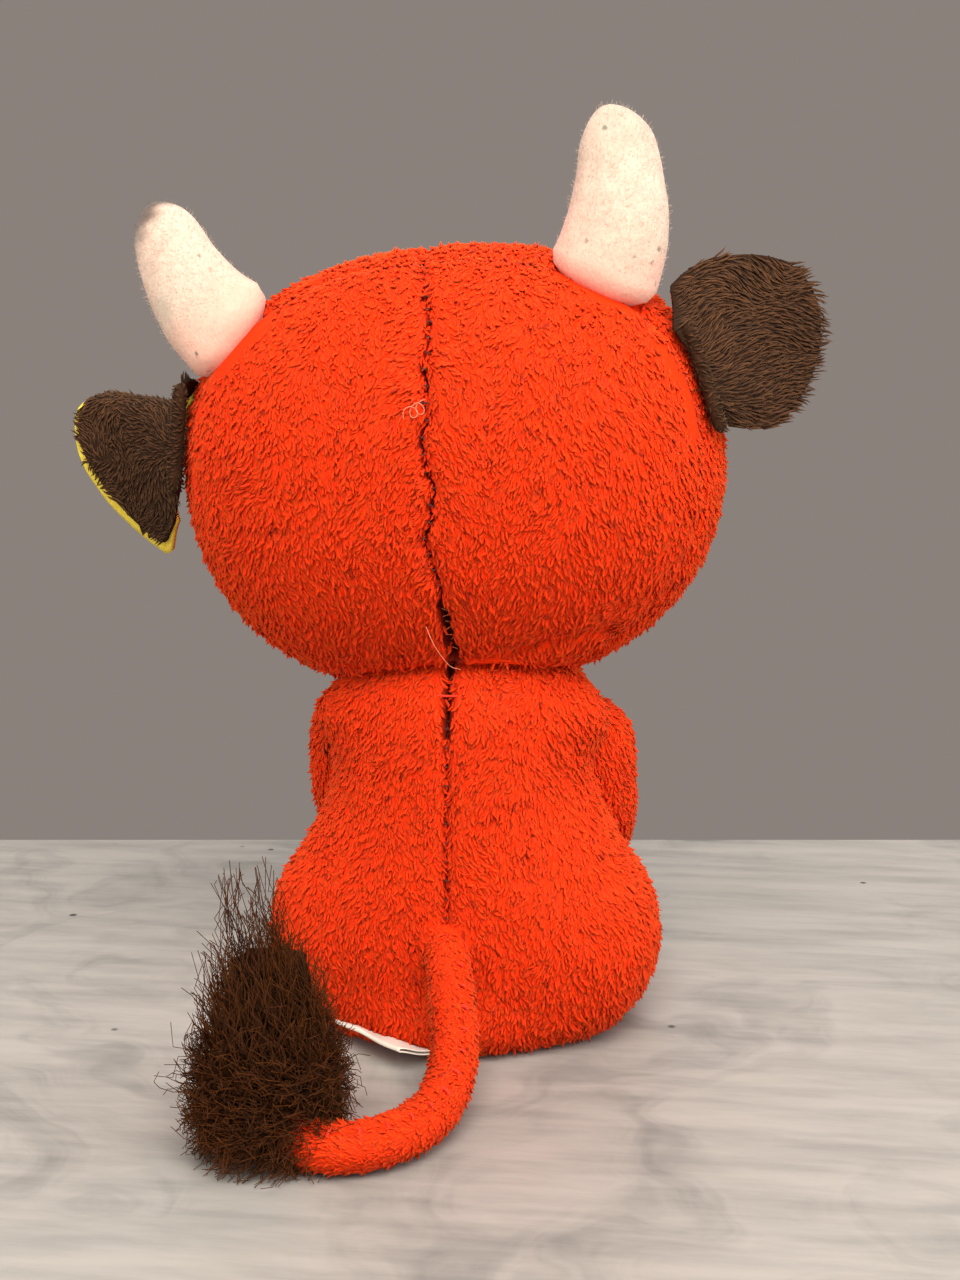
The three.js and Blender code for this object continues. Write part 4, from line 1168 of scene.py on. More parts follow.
class Materials(dict):
    """Finished materials by name, each made the first time that it is asked for"""

    def __missing__(self, name):
        p = plush()
        red, brown, cream, tuft, felt, yellow, thread = map(
            Vector, (p.red, p.brown, p.cream, p.tuft, p.felt, p.yellow, p.thread))
        maker, *given = {
            # Each pile's root colour is darker and its tip colour lighter than its middle: painted shade and
            # a painted highlight
            "red_pile": (pile_material, red * 0.8, red, red + Vector((0.03, 0.012, 0.002)),
                         (0.11, (1, 0.32, 0.16)), 0.1, 0.016, 3.2, 0.45),
            # Each backing is darker than its pile: painted shade between the tufts
            "red_backing": (felt_material, red * 0.75, red * 0.95),
            "brown_pile": (pile_material, brown * 0.3, brown, brown * 1.9, (0.15, (0.9, 0.6, 0.35)), 0.42),
            "brown_backing": (felt_material, brown * 0.2, brown * 0.5),
            "cream_pile": (pile_material, cream * 0.55, cream, cream * 1.15, (0.2, (1, 0.95, 0.85)), 0.2),
            "cream_backing": (felt_material, cream * 0.4, cream * 0.6),
            "tuft_hair": (pile_material, tuft * 0.4, tuft, tuft * 1.8,
                          (0.02, (0.8, 0.5, 0.3)), 0.45, 0.0, 0.0),
            # A near black core: painted shade in the middle of the tail's tuft
            "tuft_core": (felt_material, tuft * 0.1, tuft * 0.25),
            "horn_felt": (felt_material, felt * 0.74, felt, 2600.0, 0.6, 1.0, (0.72, 0.36, 0.26), 0.15),
            "ear_felt": (felt_material, yellow * 0.75, yellow),
            "brown_thread": (thread_material, (0.035, 0.006, 0.003), (0.1, 0.018, 0.008)),
            "red_thread": (thread_material, (0.5, 0.018, 0.004), (0.78, 0.032, 0.008)),
            "pale_thread": (thread_material, thread * 0.7, thread),
            "label_ribbon": (ribbon_material, (0.8, 0.68, 0.55)),
            "stuffing_fibre": (felt_material, (0.6, 0.6, 0.58), (0.85, 0.85, 0.83), 1200.0),
            "pellet_cloth": (felt_material, (0.5, 0.49, 0.45), (0.75, 0.73, 0.68), 3000.0),
            "eye_gloss": (plastic_material, (0.006, 0.006, 0.007), 0.04, 0.6),
            "washer_plastic": (plastic_material, (0.75, 0.75, 0.72), 0.4),
        }[name]
        self[name] = maker(name, *given)
        return self[name]


MATERIALS = Materials()
PILE_TANGLE = 0.24


def plush_pile(skin, kind, seed, length=None, spacing=None, width=None, lean=None, tangle=PILE_TANGLE,
               wall=0.6):
    """Grows one of the plush piles on a skin, with the cow's own settings where none is given"""
    p = plush()
    return with_pile(
        skin, wall, f"{kind}_backing", f"{kind}_pile", length or p.pile_length / MM,
        spacing or p.pile_spacing / MM, width or p.pile_width / MM, lean or p.pile_lean, tangle, seed,
    )


def covered_inset(p):
    """How far below its finished face a cover starts before it is swollen, in millimetres"""
    return (p.backing_depth + PUFF_SHARE * p.puff) / MM


def wide_of_seam(distance):
    """How freely the cloth moves at a distance from a seam"""
    return smoothstep(0.6, 2.4, distance)


# Operators

HEAD_CENTRE = np.array(HEAD["centre"], float)
SEAM_DRIFT = (
    (-24, 0), (-20, -0.5), (-15, 0.1), (-10, 0.6), (-6, -0.5), (-1, -1), (4, -0.5), (14, -1.8), (26, -2.1),
)
HEAD_FOLD = ((0.3, 0, -28.6), (-7, 0, -27.6), (-12.7, 0, -26.7), (-17.6, 0, -26.0), (-22.6, 0, -25.6))
CLOSING = ((-0.1, 0, -19.8), (0.1, 0, -24), (0.1, 0, -28.4))


def clear_of_neck(points):
    """0 on the bare cup that sits on the neck and 1 outside it, at points of the head's own frame"""
    return smoothstep(SOCKET_RADIUS, SOCKET_RADIUS + 1.5, np.linalg.norm(points, axis=1))


def in_neck_opening(points):
    """Where the head's cover is open towards the neck"""
    return (np.linalg.norm(points[:, :2], axis=1) < 14) & (np.linalg.norm(points, axis=1) < SOCKET_RADIUS + 1)


def seam_line(z):
    """How far the long seam of the head strays to its side at heights from the head's middle"""
    return np.interp(z, *np.array(SEAM_DRIFT).T) + 0.35 * np.sin(z * 0.55) + 0.2 * np.sin(z * 1.3 + 1)


def head_masks(points):
    """How much pile stands at points of the head's frame: none under sewn on pieces or in the neck"""
    mask = smoothstep(SOCKET_RADIUS + 0.1, SOCKET_RADIUS + 0.9, np.linalg.norm(points, axis=1))
    turned_back = Matrix(HEAD_PLACE).inverted()
    for horn in HORNS.values():
        local = placed((turned_back @ horn_place(horn)).inverted(), points)
        spread = np.hypot(local[:, 0] / HORN_WIDTH, local[:, 1] / (HORN_THICKNESS + 0.2))
        mask = mask * np.where(np.abs(local[:, 2]) < 9, smoothstep(0.82, 0.98, spread), 1)
    for ear in EARS.values():
        local = placed((turned_back @ ear_place(ear)).inverted(), points)
        spread = np.hypot(local[:, 1] / 0.9, np.maximum(np.abs(local[:, 2]) - 6.5, 0) / 1.2)
        mask = mask * np.where(np.abs(local[:, 0]) < 6, smoothstep(0.7, 1.0, spread), 1)
    return mask


class PLUSH_OT_head(bpy.types.Operator):
    """Sews the head's four red panels and swells them with cloth simulation"""
    bl_idname = "plush.head"
    bl_label = "Head panels"

    def execute(self, context):
        p = plush()
        directions, faces = box_ball(44)
        points = on_rounded(HEAD, directions, covered_inset(p))
        deep = np.linalg.norm(points, axis=1)
        in_neck = deep < SOCKET_RADIUS
        points[in_neck] *= (SOCKET_RADIUS / deep[in_neck])[:, None]
        offset = points - HEAD_CENTRE
        seam = np.minimum(np.abs(offset[:, 1] - CROWN_SEAM), np.abs(offset[:, 0]))
        held = np.maximum(1 - wide_of_seam(seam), 1 - clear_of_neck(points))
        held = np.maximum(held, smoothstep(-1.0, 1.0, depth_in(MUZZLE, points)))
        points = puffed(points, faces, held, p.puff / MM)
        crown = HEAD_CENTRE + CROWN_SEAM * Y
        seams = [(crown, Y), (HEAD_CENTRE, X)]
        for part, way in (("head_back_panel", 1), ("face_panel", -1)):
            for name, side in SIDES.items():
                keeps = [(crown, way * Y), (HEAD_CENTRE, side * X)]
                holes = [in_neck_opening]
                if way < 0:
                    holes.append(lambda middles: depth_in(MUZZLE, middles) > 1.2)
                skin = panel(f"{part}_{name}_plush", points, faces, keeps, seams, holes)
                self.shape_panel(skin, way > 0, p)
                plush_pile(skin, "red", 10 * (way + 2) + side)
                finish_piece(skin, "head", [f"{part}_{name}"])
        return {"FINISHED"}

    def shape_panel(self, skin, back, p):
        """Pulls the seams and folds in, and stores the pile's mask, its combing and the painted shade of its
        seam and hole
        """
        local, normals = points_of(skin)
        offset = local - HEAD_CENTRE
        depth = p.seam_depth / MM
        press = groove(offset[:, 1] - CROWN_SEAM, 0.75 * depth, 0.9) + groove(offset[:, 0], depth, 0.85)
        if back:
            flat = offset * (1, 0, 1)
            fold, hole = line_distance(flat, HEAD_FOLD), line_distance(flat, CLOSING)
            press += groove(fold, 1.5, 0.9) + groove(hole, 1.0, 1.1)
        local = local - normals * (press * clear_of_neck(local))[:, None]
        if back:
            near = np.exp(-(offset[:, 0] / 12) ** 2) * smoothstep(CROWN_SEAM, CROWN_SEAM + 12, offset[:, 1])
            local[:, 0] += seam_line(offset[:, 2]) * near
        mask = head_masks(local)
        uneven = 0.5 + 0.5 * noise_at(local * (0, 0, 1), 2.4, 8)[:, 0]
        split = groove(offset[:, 0], 0.35 + 0.6 * uneven, 0.25 + 0.3 * uneven)
        mask = mask * (1 - np.clip(split, 0, 1)) * (1 - groove(offset[:, 1] - CROWN_SEAM, 0.3, 0.3))
        # Painted shade along the middle seam, and on the back round the stuffing hole
        deep = np.clip(groove(offset[:, 0], 1.0, 0.8), 0, 1)
        if back:
            hole = hole + 0.4 * noise_at(local, 1.6, 9)[:, 0]
            mask = mask * smoothstep(0.6, 1.2, hole) * (1 - groove(fold, 0.8, 0.35))
            deep = np.maximum(deep, smoothstep(1.5, 0.8, hole))
        paint(skin, "deep", deep)
        if not back:
            mask = mask * smoothstep(0.3, -0.8, depth_in(MUZZLE, local))
        paint(skin, "pile", mask)
        comb = np.tile([0.0, 0.25, -1.0], (len(local), 1)) + 0.6 * noise_at(local, 16, 3)
        comb[:, 0] += 0.5 * np.sign(offset[:, 0]) * np.exp(-(offset[:, 0] / 4) ** 2)
        move_points(skin, placed(HEAD_PLACE, local))
        paint(skin, "comb", comb @ np.array(HEAD_PLACE)[:3, :3].T)


def muzzle_rings(inset, sink, around, steps):
    """Rings of the muzzle's dome, from its front to the line where it meets the face"""
    angles = turns(around)
    low, high = np.zeros(around), np.full(around, math.pi)

    def points_at(polar):
        out = np.sin(polar)
        directions = np.stack([np.cos(angles) * out, -np.cos(polar), np.sin(angles) * out], axis=1)
        return on_rounded(MUZZLE, directions, inset)

    for _ in range(30):
        middle = (low + high) / 2
        outside = depth_in(HEAD, points_at(middle), sink) < 0
        low, high = np.where(outside, middle, low), np.where(outside, high, middle)
    return np.array([points_at(low * share) for share in np.linspace(0.02, 1, steps)])


class PLUSH_OT_muzzle(bpy.types.Operator):
    """Makes the cream muzzle, its embroidered nostrils and its mouth"""
    bl_idname = "plush.muzzle"
    bl_label = "Muzzle"

    def execute(self, context):
        p = plush()
        rings = muzzle_rings(p.backing_depth / MM, 1.6, 72, 26)
        points, faces = sheet_of_rings(rings, close_end=False)
        skin = object_from("muzzle_panel_plush", surface(points, faces))
        local, normals = points_of(skin)
        sunk = depth_in(HEAD, local, 0.9)
        press = groove(sunk, 0.5, 1.4)
        paint(skin, "pile", smoothstep(0.6, -0.4, sunk))
        comb = unit(local - (MUZZLE["centre"] + np.array([0, -14, 4])))
        move_points(skin, placed(HEAD_PLACE, local - normals * press[:, None]))
        paint(skin, "comb", comb @ np.array(HEAD_PLACE)[:3, :3].T)
        plush_pile(skin, "cream", 41, length=1.5, width=0.55)
        finish_piece(skin, "head", ["muzzle_panel"])
        for name, side in SIDES.items():
            self.nostril(name, side)
        self.mouth()
        return {"FINISHED"}

    def nostril(self, name, side):
        """Satin stitch over an oval"""
        lines = []
        for share in np.linspace(-0.92, 0.92, 11):
            half, swell = 2.0 * math.sqrt(1 - share ** 2), 0.75 * (1 - share ** 2) ** 0.3
            lines.append(traced(MUZZLE, [
                (side * 8 + 3.0 * share, 4 + half * step, 0.25 + swell * math.sqrt(1 - step ** 2 * 0.96))
                for step in np.linspace(-1, 1, 9)
            ]))
        sewn = strands(f"nostril_{name}_embroidery", lines, 0.34, 8, "brown_thread")
        finish_piece(sewn, "head", [f"nostril_{name}"])

    def mouth(self):
        """A stem-stitched line with a soft sag"""
        lines, count = [], 13
        for i in range(count):
            spots = []
            for step in np.linspace(-0.15, 1.15, 7):
                share = ((i + step) / count) * 2 - 1
                height = 0.45 + 0.4 * math.sin(math.pi * min(max(step, 0), 1))
                spots.append((share * 9, -4 - 3 * (1 - share ** 2) + 0.22 * (step - 0.5), height))
            lines.append(traced(MUZZLE, spots))
        sewn = strands("mouth_stem_stitch", lines, 0.42, 8, "brown_thread")
        finish_piece(sewn, "head", ["mouth_embroidery"])


EYE_STEM, EYE_DOME = ((1.15, -7.0), (1.3, -6.8), (1.3, -0.3), (3.5, -0.28), (3.9, -0.1), (4.0, 0.15)), 2.85


class PLUSH_OT_eyes(bpy.types.Operator):
    """Turns the glossy button eyes and dresses the washers behind them"""
    bl_idname = "plush.eyes"
    bl_label = "Eyes"

    def execute(self, context):
        dome = np.linspace(0.12, math.pi / 2, 14)[:-1]
        rim, foot = EYE_STEM[-1]
        profile = [*EYE_STEM, *((rim * math.cos(a), foot + EYE_DOME * math.sin(a)) for a in dome)]
        points, faces = sheet_of_rings([oval(height * Z, X, Y, turns(48), half) for half, height in profile])
        for name, side in SIDES.items():
            point, normal = on_front(HEAD, side * 18, 5)
            turn = Vector(Z).rotation_difference(Vector(normal)).to_matrix().to_4x4()
            bm = surface(points, faces, HEAD_PLACE @ Matrix.Translation(point) @ turn)
            eye = dress(object_from(f"eye_{name}_button", bm), "eye_gloss")
            finish_piece(eye, "head", [f"eye_{name}"])
            dress(bpy.data.objects[f"eye_washer_{name}"], "washer_plastic")
        return {"FINISHED"}


TORSO_FLAT = 0.35
# Bare specks in the back's pile, each painted dark as the shade in it
SPECKS = (((-11.2, 20, 30.6), 0.75), ((9, 20, 22), 0.5), ((-6, 20, 37), 0.45))


def torso_cover(inset):
    """Points and faces of the torso's whole cover, with the dome that fills the neck"""
    angles = turns(96) + math.pi / 96
    first = section(*torso_level(0, inset)[1:], angles, TORSO_FLAT)
    rings = [first * (share, share, 1) for share in (0.05, 0.25, 0.45, 0.65, 0.85)]
    for share in np.linspace(0, 1, 44):
        z, reach, roundness = torso_level(share, inset)
        rings.append(section(reach, roundness, angles, max(z, TORSO_FLAT + 0.3 * share)))
    radius = NECK_RADIUS - inset
    for rise in np.linspace(0, math.pi / 2, 16)[1:-1]:
        rings.append(oval(NECK + radius * math.sin(rise) * Z, X, Y, angles, radius * math.cos(rise)))
    points, faces = sheet_of_rings(rings)
    x, y, z = points.T
    seat, shoulder = SEAT_FILL, SHOULDER_FILL
    behind = np.exp(-((z - seat["height"]) / seat["spread"]) ** 2 - (x / seat["reach"]) ** 2)
    beside = np.exp(-((z - shoulder["height"]) / shoulder["spread"]) ** 2
                    - ((y - shoulder["back"]) / shoulder["reach"]) ** 2)
    points[:, 1] += seat["out"] * behind * smoothstep(6, 14, y)
    points[:, 0] += shoulder["out"] * np.sign(x) * beside * smoothstep(6, 15, np.abs(x))
    return points, faces


def limb_sockets():
    """Centre and radius of each round root that sits in the torso"""
    roots = [(foreleg_line(side)[0], FORELEG["root"]) for side in (1, -1)]
    roots += [(hind_leg_line(side)[0], HIND_LEG["root"]) for side in (1, -1)]
    return roots + [(tail_points()[0], TAIL_RADIUS)]


def pushed_clear(points, gap):
    """Points moved off the round roots that sit in the torso"""
    for root, radius in limb_sockets():
        away = points - root
        far = np.linalg.norm(away, axis=1)
        near = far < radius + gap
        points[near] = root + away[near] * ((radius + gap) / np.maximum(far[near], 0.5))[:, None]
    return points


class PLUSH_OT_torso(bpy.types.Operator):
    """Sews the torso's back, belly and base panels, with the bare dome that fills the neck"""
    bl_idname = "plush.torso"
    bl_label = "Torso panels"

    def execute(self, context):
        p = plush()
        points, faces = torso_cover(covered_inset(p))
        from_middle = np.where(points[:, 1] > 0, np.abs(points[:, 0]), 99)
        seam = np.minimum(np.abs(points[:, 1] - SIDE_SEAM), from_middle)
        held = np.maximum(1 - wide_of_seam(seam), smoothstep(44, 47, points[:, 2]))
        held = np.maximum(held, 1 - smoothstep(1.0, 3.0, points[:, 2]))
        for root, radius in limb_sockets():
            held = np.maximum(held, 1 - smoothstep(radius, radius + 2, np.linalg.norm(points - root, axis=1)))
        points = pushed_clear(puffed(points, faces, held, p.puff / MM), 0.2)
        side_seam = (SIDE_SEAM * Y, Y)
        middle = (np.zeros(3), X)
        floor = (BASE_HEIGHT * Z, Z)
        panels = {
            "back_panel_left": [side_seam, middle, floor],
            "back_panel_right": [side_seam, (middle[0], -X), floor],
            "belly_panel": [(side_seam[0], -Y), floor],
            "base_panel": [(floor[0], -Z)],
        }
        for number, (name, keeps) in enumerate(panels.items()):
            seams = [side_seam, middle] if name != "belly_panel" else [side_seam]
            if name == "base_panel":
                seams = []
            skin = panel(f"{name}_plush", points, faces, keeps, seams)
            self.shape_panel(skin, name, p)
            plush_pile(skin, "red", 60 + number, wall=0.5)
            finish_piece(skin, "torso", [name])
        return {"FINISHED"}

    def shape_panel(self, skin, name, p):
        """Pulls the seams in, and stores the pile's mask, its combing and the painted shade of its seam and
        bare specks
        """
        local, normals = points_of(skin)
        depth = p.seam_depth / MM
        x, y, z = local.T
        back = name.startswith("back")
        press = groove(y - SIDE_SEAM, 0.8 * depth, 0.9) * smoothstep(1, 4, z)
        if back:
            press += groove(x, 1, 0.8) * (0.8 * depth + 0.4 * smoothstep(47, 50, z)) * smoothstep(18, 21, z)
            press += 0.25 * np.maximum(noise_at(local, 5, 12)[:, 0], 0)
        above = smoothstep(NECK[2] + 13, NECK[2] + 11, z)
        mask = above * (1 - groove(y - SIDE_SEAM, 0.3, 0.3))
        deep = np.zeros(len(local))
        if back:
            uneven = 0.5 + 0.5 * noise_at(local * (0, 0, 1), 1.8, 14)[:, 0]
            ragged = 0.12 + 0.3 * uneven + (0.5 + 0.5 * np.sin(z * 2.1)) * smoothstep(47.5, 50, z)
            mask = mask * (1 - np.clip(groove(x, 0.3 + 0.7 * uneven + smoothstep(47.5, 50, z), ragged), 0, 1))
            # Painted shade along the back seam, widening towards the neck
            deep = np.clip(groove(x, 1.0, 0.7 + 0.6 * smoothstep(47.5, 50, z)), 0, 1)
            # Bare specks in the pile, as real wear, with painted shade in them
            for spot, size in SPECKS:
                far = np.linalg.norm((local - spot)[:, [0, 2]], axis=1)
                mask = mask * smoothstep(size * 0.5, size * 1.2, far)
                deep = np.maximum(deep, smoothstep(size * 1.3, size, far))
        paint(skin, "deep", deep)
        for root, radius in limb_sockets():
            mask = mask * smoothstep(radius - 0.2, radius + 0.3, np.linalg.norm(local - root, axis=1))
        if name == "base_panel":
            mask = mask * 0
        paint(skin, "pile", mask)
        comb = np.tile([0.0, 0.0, -1.0], (len(local), 1)) + 0.55 * noise_at(local, 14, 5)
        paint(skin, "comb", comb)
        move_points(skin, local - normals * press[:, None])


def limb_rings(leg_line, sizes, inset, along_count, around):
    """Rings of a limb from the ball at its root to its round tip"""
    root, (place, along) = leg_line
    start_along = along(np.array(0.0))
    angles = turns(around)
    ball = sizes["root"] - inset
    rings = []

    def ring(centre, direction, half):
        thick = unit(X - direction * (X @ direction))
        return oval(centre, np.cross(thick, direction), thick, angles, half)

    for rise in np.radians(np.linspace(80, 5, 8)):
        rings.append(ring(root - start_along * ball * math.sin(rise), start_along, ball * math.cos(rise)))
    reach = 1 - inset / np.linalg.norm(place(np.array(1.0)) - root)
    for t in shares_to_tip(LIMB_TIP, along_count, 12):
        half = (sizes["radius"] * share_at(sizes["widths"], t) - inset) * tip_rounding(t, LIMB_TIP)
        swell = ball + (half - ball) * smoothstep(0, 0.3, t)
        spot = np.array(t * reach)
        rings.append(ring(place(spot), along(spot), min(swell, half) if t > 0.3 else swell))
    return rings


class PLUSH_OT_legs(bpy.types.Operator):
    """Makes the four stuffed legs, each with a brown hoof"""
    bl_idname = "plush.legs"
    bl_label = "Legs"

    def execute(self, context):
        for number, (name, side) in enumerate(SIDES.items()):
            self.leg(name, "foreleg", foreleg_line(side), FORELEG, 100 + number)
            self.leg(name, "hind_leg", hind_leg_line(side), HIND_LEG, 110 + number)
        return {"FINISHED"}

    def leg(self, name, kind, leg_line, sizes, seed):
        """One leg: its cover and its hoof"""
        root, (place, along) = leg_line
        points, faces = sheet_of_rings(limb_rings(leg_line, sizes, plush().backing_depth / MM, 22, 44))
        length = np.linalg.norm(np.diff(place(np.linspace(0, 1, 60)), axis=0), axis=1).sum()
        share = np.array(1 - sizes["hoof"] / length)
        hoof_plane = (place(share), along(share))
        cover_plane = (hoof_plane[0], -hoof_plane[1])
        body = f"{name}_{kind}"
        for part, keep, pile in (("cover", cover_plane, "red"), ("hoof", hoof_plane, "brown")):
            skin = panel(f"{kind}_{part}_{name}_plush", points, faces, [keep], [hoof_plane])
            local, normals = points_of(skin)
            seam = (local - hoof_plane[0]) @ hoof_plane[1]
            mask = smoothstep(1.3, 0.3, depth_in_torso(local)) * (1 - groove(seam, 0.5, 0.3))
            paint(skin, "pile", mask)
            steps = place(np.linspace(0, 1, 30))
            nearest = np.argmin(np.linalg.norm(local[:, None] - steps[None], axis=2), axis=1)
            comb = along(nearest / 29) + 0.4 * noise_at(local, 9, seed)
            paint(skin, "comb", comb)
            rear_seam = np.exp(-((local[:, 0] - root[0]) / 0.8) ** 2) * (normals[:, 2] < -0.2)
            press = groove(seam, 0.8, 0.8) + 0.6 * rear_seam * (kind == "foreleg")
            move_points(skin, local - normals * press[:, None])
            plush_pile(skin, pile, seed + (part == "hoof") * 5, length=HOOF_PILE if pile == "brown" else None)
            finish_piece(skin, body, [f"{kind}_{part}_{name}"])


def tail_frame(shares):
    """Middle, direction and the two cross directions of the tail at shares of its line"""
    points = tail_points()
    middle = rounded_line(points, shares)
    before, after = (rounded_line(points, np.clip(shares + step, 0, 1)) for step in (-1e-3, 1e-3))
    along = unit(after - before)
    wide = unit(np.cross(np.tile(Z, (len(along), 1)), along))
    return middle, along, wide, np.cross(along, wide)


class PLUSH_OT_tail(bpy.types.Operator):
    """Makes the tail's red tube with its ladder-stitched seam, in one piece over its joint"""
    bl_idname = "plush.tail"
    bl_label = "Tail"

    def execute(self, context):
        shares = shares_to_tip(TAIL_TIP, 108, 14)
        middle, along, wide, thick = tail_frame(shares)
        travelled = np.concatenate([[0], np.cumsum(np.linalg.norm(np.diff(middle, axis=0), axis=1))])
        angles = turns(44)
        across = ((angles - TAIL_SEAM + math.pi) % (2 * math.pi) - math.pi) * TAIL_RADIUS
        full = TAIL_RADIUS - TAIL_INSET
        rings = []
        for rise in (1.3, 0.9, 0.45):
            centre = middle[0] - along[0] * full * math.sin(rise)
            rings.append(oval(centre, wide[0], thick[0], angles, full * math.cos(rise)))
        size = full * tip_rounding(shares, TAIL_TIP)
        for i, share in enumerate(shares):
            pull = (travelled[i] % TAIL_STITCH) - TAIL_STITCH / 2
            press = groove(across, 0.55, 0.6) + groove(pull, 0.55, 0.5) * np.exp(-(across / 1.9) ** 2)
            press = press * smoothstep(3, 8, travelled[i]) * smoothstep(0.97, 0.85, share)
            half = np.maximum(size[i] - press, 0.15)[:, None]
            rings.append(oval(middle[i], wide[i], thick[i], angles, half))
        points, faces = sheet_of_rings(rings)
        skin = object_from("tail_tube_plush", surface(points, faces))
        local, _ = points_of(skin)
        nearest = np.argmin(np.linalg.norm(local[:, None] - middle[None], axis=2), axis=1)
        mask = smoothstep(0.9, 0.1, depth_in_torso(local)) * smoothstep(0.995, 0.93, shares[nearest])
        paint(skin, "pile", mask)
        comb = along[nearest] + 0.35 * noise_at(local, 7, 21)
        paint(skin, "comb", comb)
        plush_pile(skin, "red", 130, length=1.0, width=0.6, spacing=0.31, lean=0.82, wall=0)
        finish_piece(skin, "", ["tail_root_cover", "tail_end_cover"], blend=self.joint())
        up = math.cos(TAIL_SEAM) * wide + math.sin(TAIL_SEAM) * thick
        line = middle + (TAIL_RADIUS - 0.42) * up
        held = (travelled > 6) & (shares < 0.8)
        sewn = stitches("tail_ladder_stitches", line[held], up[held], TAIL_STITCH, 1.3, 8, "red_thread")
        finish_piece(sewn, "", blend=self.joint())
        return {"FINISHED"}

    def joint(self):
        """The two bodies that the tail bends between, and the stretch that it bends over"""
        middle, reach = rounded_line(tail_points(), TAIL_JOINT)[0], TAIL_BEND["reach"] * TAIL_BEND["way"]
        return "tail_root", "tail_end", tuple((middle - reach) * MM), tuple((middle + reach) * MM)


HAIR = {
    "locks": 240, "wisps": 0.07, "lock_spread": 0.28, "start": 1.5, "foot": 0.4, "forward": 5.5,
    "radius": 0.055, "pieces": 3, "coils": 7, "least": 0.3,
}


class PLUSH_OT_tuft(bpy.types.Operator):
    """Combs the tail's tuft of long brown hair"""
    bl_idname = "plush.tuft"
    bl_label = "Tail tuft"

    def execute(self, context):
        rng = np.random.default_rng(31)
        count, steps = plush().tuft_strands, np.linspace(0, 1, 9)
        tip = rounded_line(tail_points(), 1.0)[0]
        heights, widths = np.array(TUFT_WIDTHS).T
        locks = HAIR["locks"]
        angles, reaches_up = rng.uniform(0, 2 * math.pi, locks), rng.beta(1.1, 2.6, locks)
        lock = rng.integers(locks, size=count)
        wisp = rng.random(count) < HAIR["wisps"]
        angle = angles[lock] + rng.normal(0, HAIR["lock_spread"], count)
        goal = np.clip(reaches_up[lock] + rng.normal(0, 0.07, count), 0.0, 1.0)
        goal = goal * np.where(wisp, rng.uniform(1.1, 1.9, count), 1.0)
        share = np.sqrt(rng.uniform(np.maximum(0.3 - 0.25 * goal, 0.02), 1))
        share = share * np.where(wisp, rng.uniform(1.0, 1.35, count), 1.0)
        first = HAIR["start"]
        far = np.maximum(TUFT_RADIUS * np.interp(goal, heights, widths), first) * share
        start = TUFT_HEIGHT * (0.12 + 0.5 * goal * rng.uniform(0.5, 1, count))
        end = HAIR["foot"] + (TUFT_HEIGHT - HAIR["foot"]) * np.minimum(goal, 1.12)
        height = start[:, None] + (end - start)[:, None] * steps ** 1.6
        radius = first + (far - first)[:, None] * np.sin(steps * math.pi / 2) ** 0.8
        turn = angle[:, None] + (0.6 * np.sin(lock * 1.7) + rng.normal(0, 0.35, count))[:, None] * steps
        x = tip[0] + TUFT_LEAN * smoothstep(0.5, 1.0, height / TUFT_HEIGHT) + radius * np.cos(turn)
        y = tip[1] + HAIR["forward"] * steps + radius * np.sin(turn)
        points = np.stack([x, y, height], axis=2)
        flat = points.reshape(-1, 3)
        curl = noise_at(flat + np.repeat(lock, len(steps))[:, None] * 3.0, 4.0, 40)
        loose = noise_at(flat + np.repeat(np.arange(count), len(steps))[:, None] * 1.7, 2.2, 41)
        sway = (1.3 * curl + (0.9 + 0.9 * np.repeat(wisp, len(steps)))[:, None] * loose).reshape(points.shape)
        coil, phase = rng.uniform(0.2, 1.2, count)[:, None], rng.uniform(0, 2 * math.pi, count)[:, None]
        points += sway * steps[None, :, None]
        points[:, :, 0] += coil * steps * np.cos(phase + HAIR["coils"] * steps)
        points[:, :, 2] += coil * steps * np.sin(phase + HAIR["coils"] * steps)
        points[:, :, 2] = np.maximum(points[:, :, 2], HAIR["least"])
        shade = np.clip(rng.normal(0.5, 0.25, count), 0, 1)
        for part in range(HAIR["pieces"]):
            mine = range(part, count, HAIR["pieces"])
            hair = strands(
                f"tail_tuft_hair_{part + 1}", [points[i] for i in mine], HAIR["radius"], 3, "tuft_hair",
                thin=[1.0 - 0.75 * steps ** 2] * len(mine), along=[0.1 + 0.9 * steps] * len(mine),
                shade=[np.full(len(steps), shade[i]) for i in mine],
            )
            if part == 0:
                # The dark core is painted shade inside the tuft
                merged(hair, self.core(tip, heights, widths))
            finish_piece(hair, "tail_end", ["tail_tuft"] if part == 0 else ())
        return {"FINISHED"}

    def core(self, tip, heights, widths):
        """A near black body in the middle of the tuft: painted shade among the hairs"""
        angles = turns(40)
        rings = []
        for z in np.linspace(0.05, 0.75, 20):
            half = 0.6 * TUFT_RADIUS * np.interp(z, heights, widths)
            ripple = 1 + 0.1 * np.sin(angles * 7 + z * 9) + 0.06 * np.sin(angles * 13 - z * 17)
            centre = (tip[0], tip[1] + 2, 0.7 + (TUFT_HEIGHT - 1) * z)
            rings.append(oval(centre, X, Y, angles, (half * ripple)[:, None]))
        return dress(object_from("tail_tuft_core", surface(*sheet_of_rings(rings))), "tuft_core")


def horn_halves(t):
    """Half the width and half the thickness of a horn at a share of its length"""
    closing = tip_rounding(t, HORN_TIP)
    return (HORN_WIDTH * share_at(HORN_WIDTHS, t) * closing,
            HORN_THICKNESS * share_at(HORN_THICKNESSES, t) * closing)


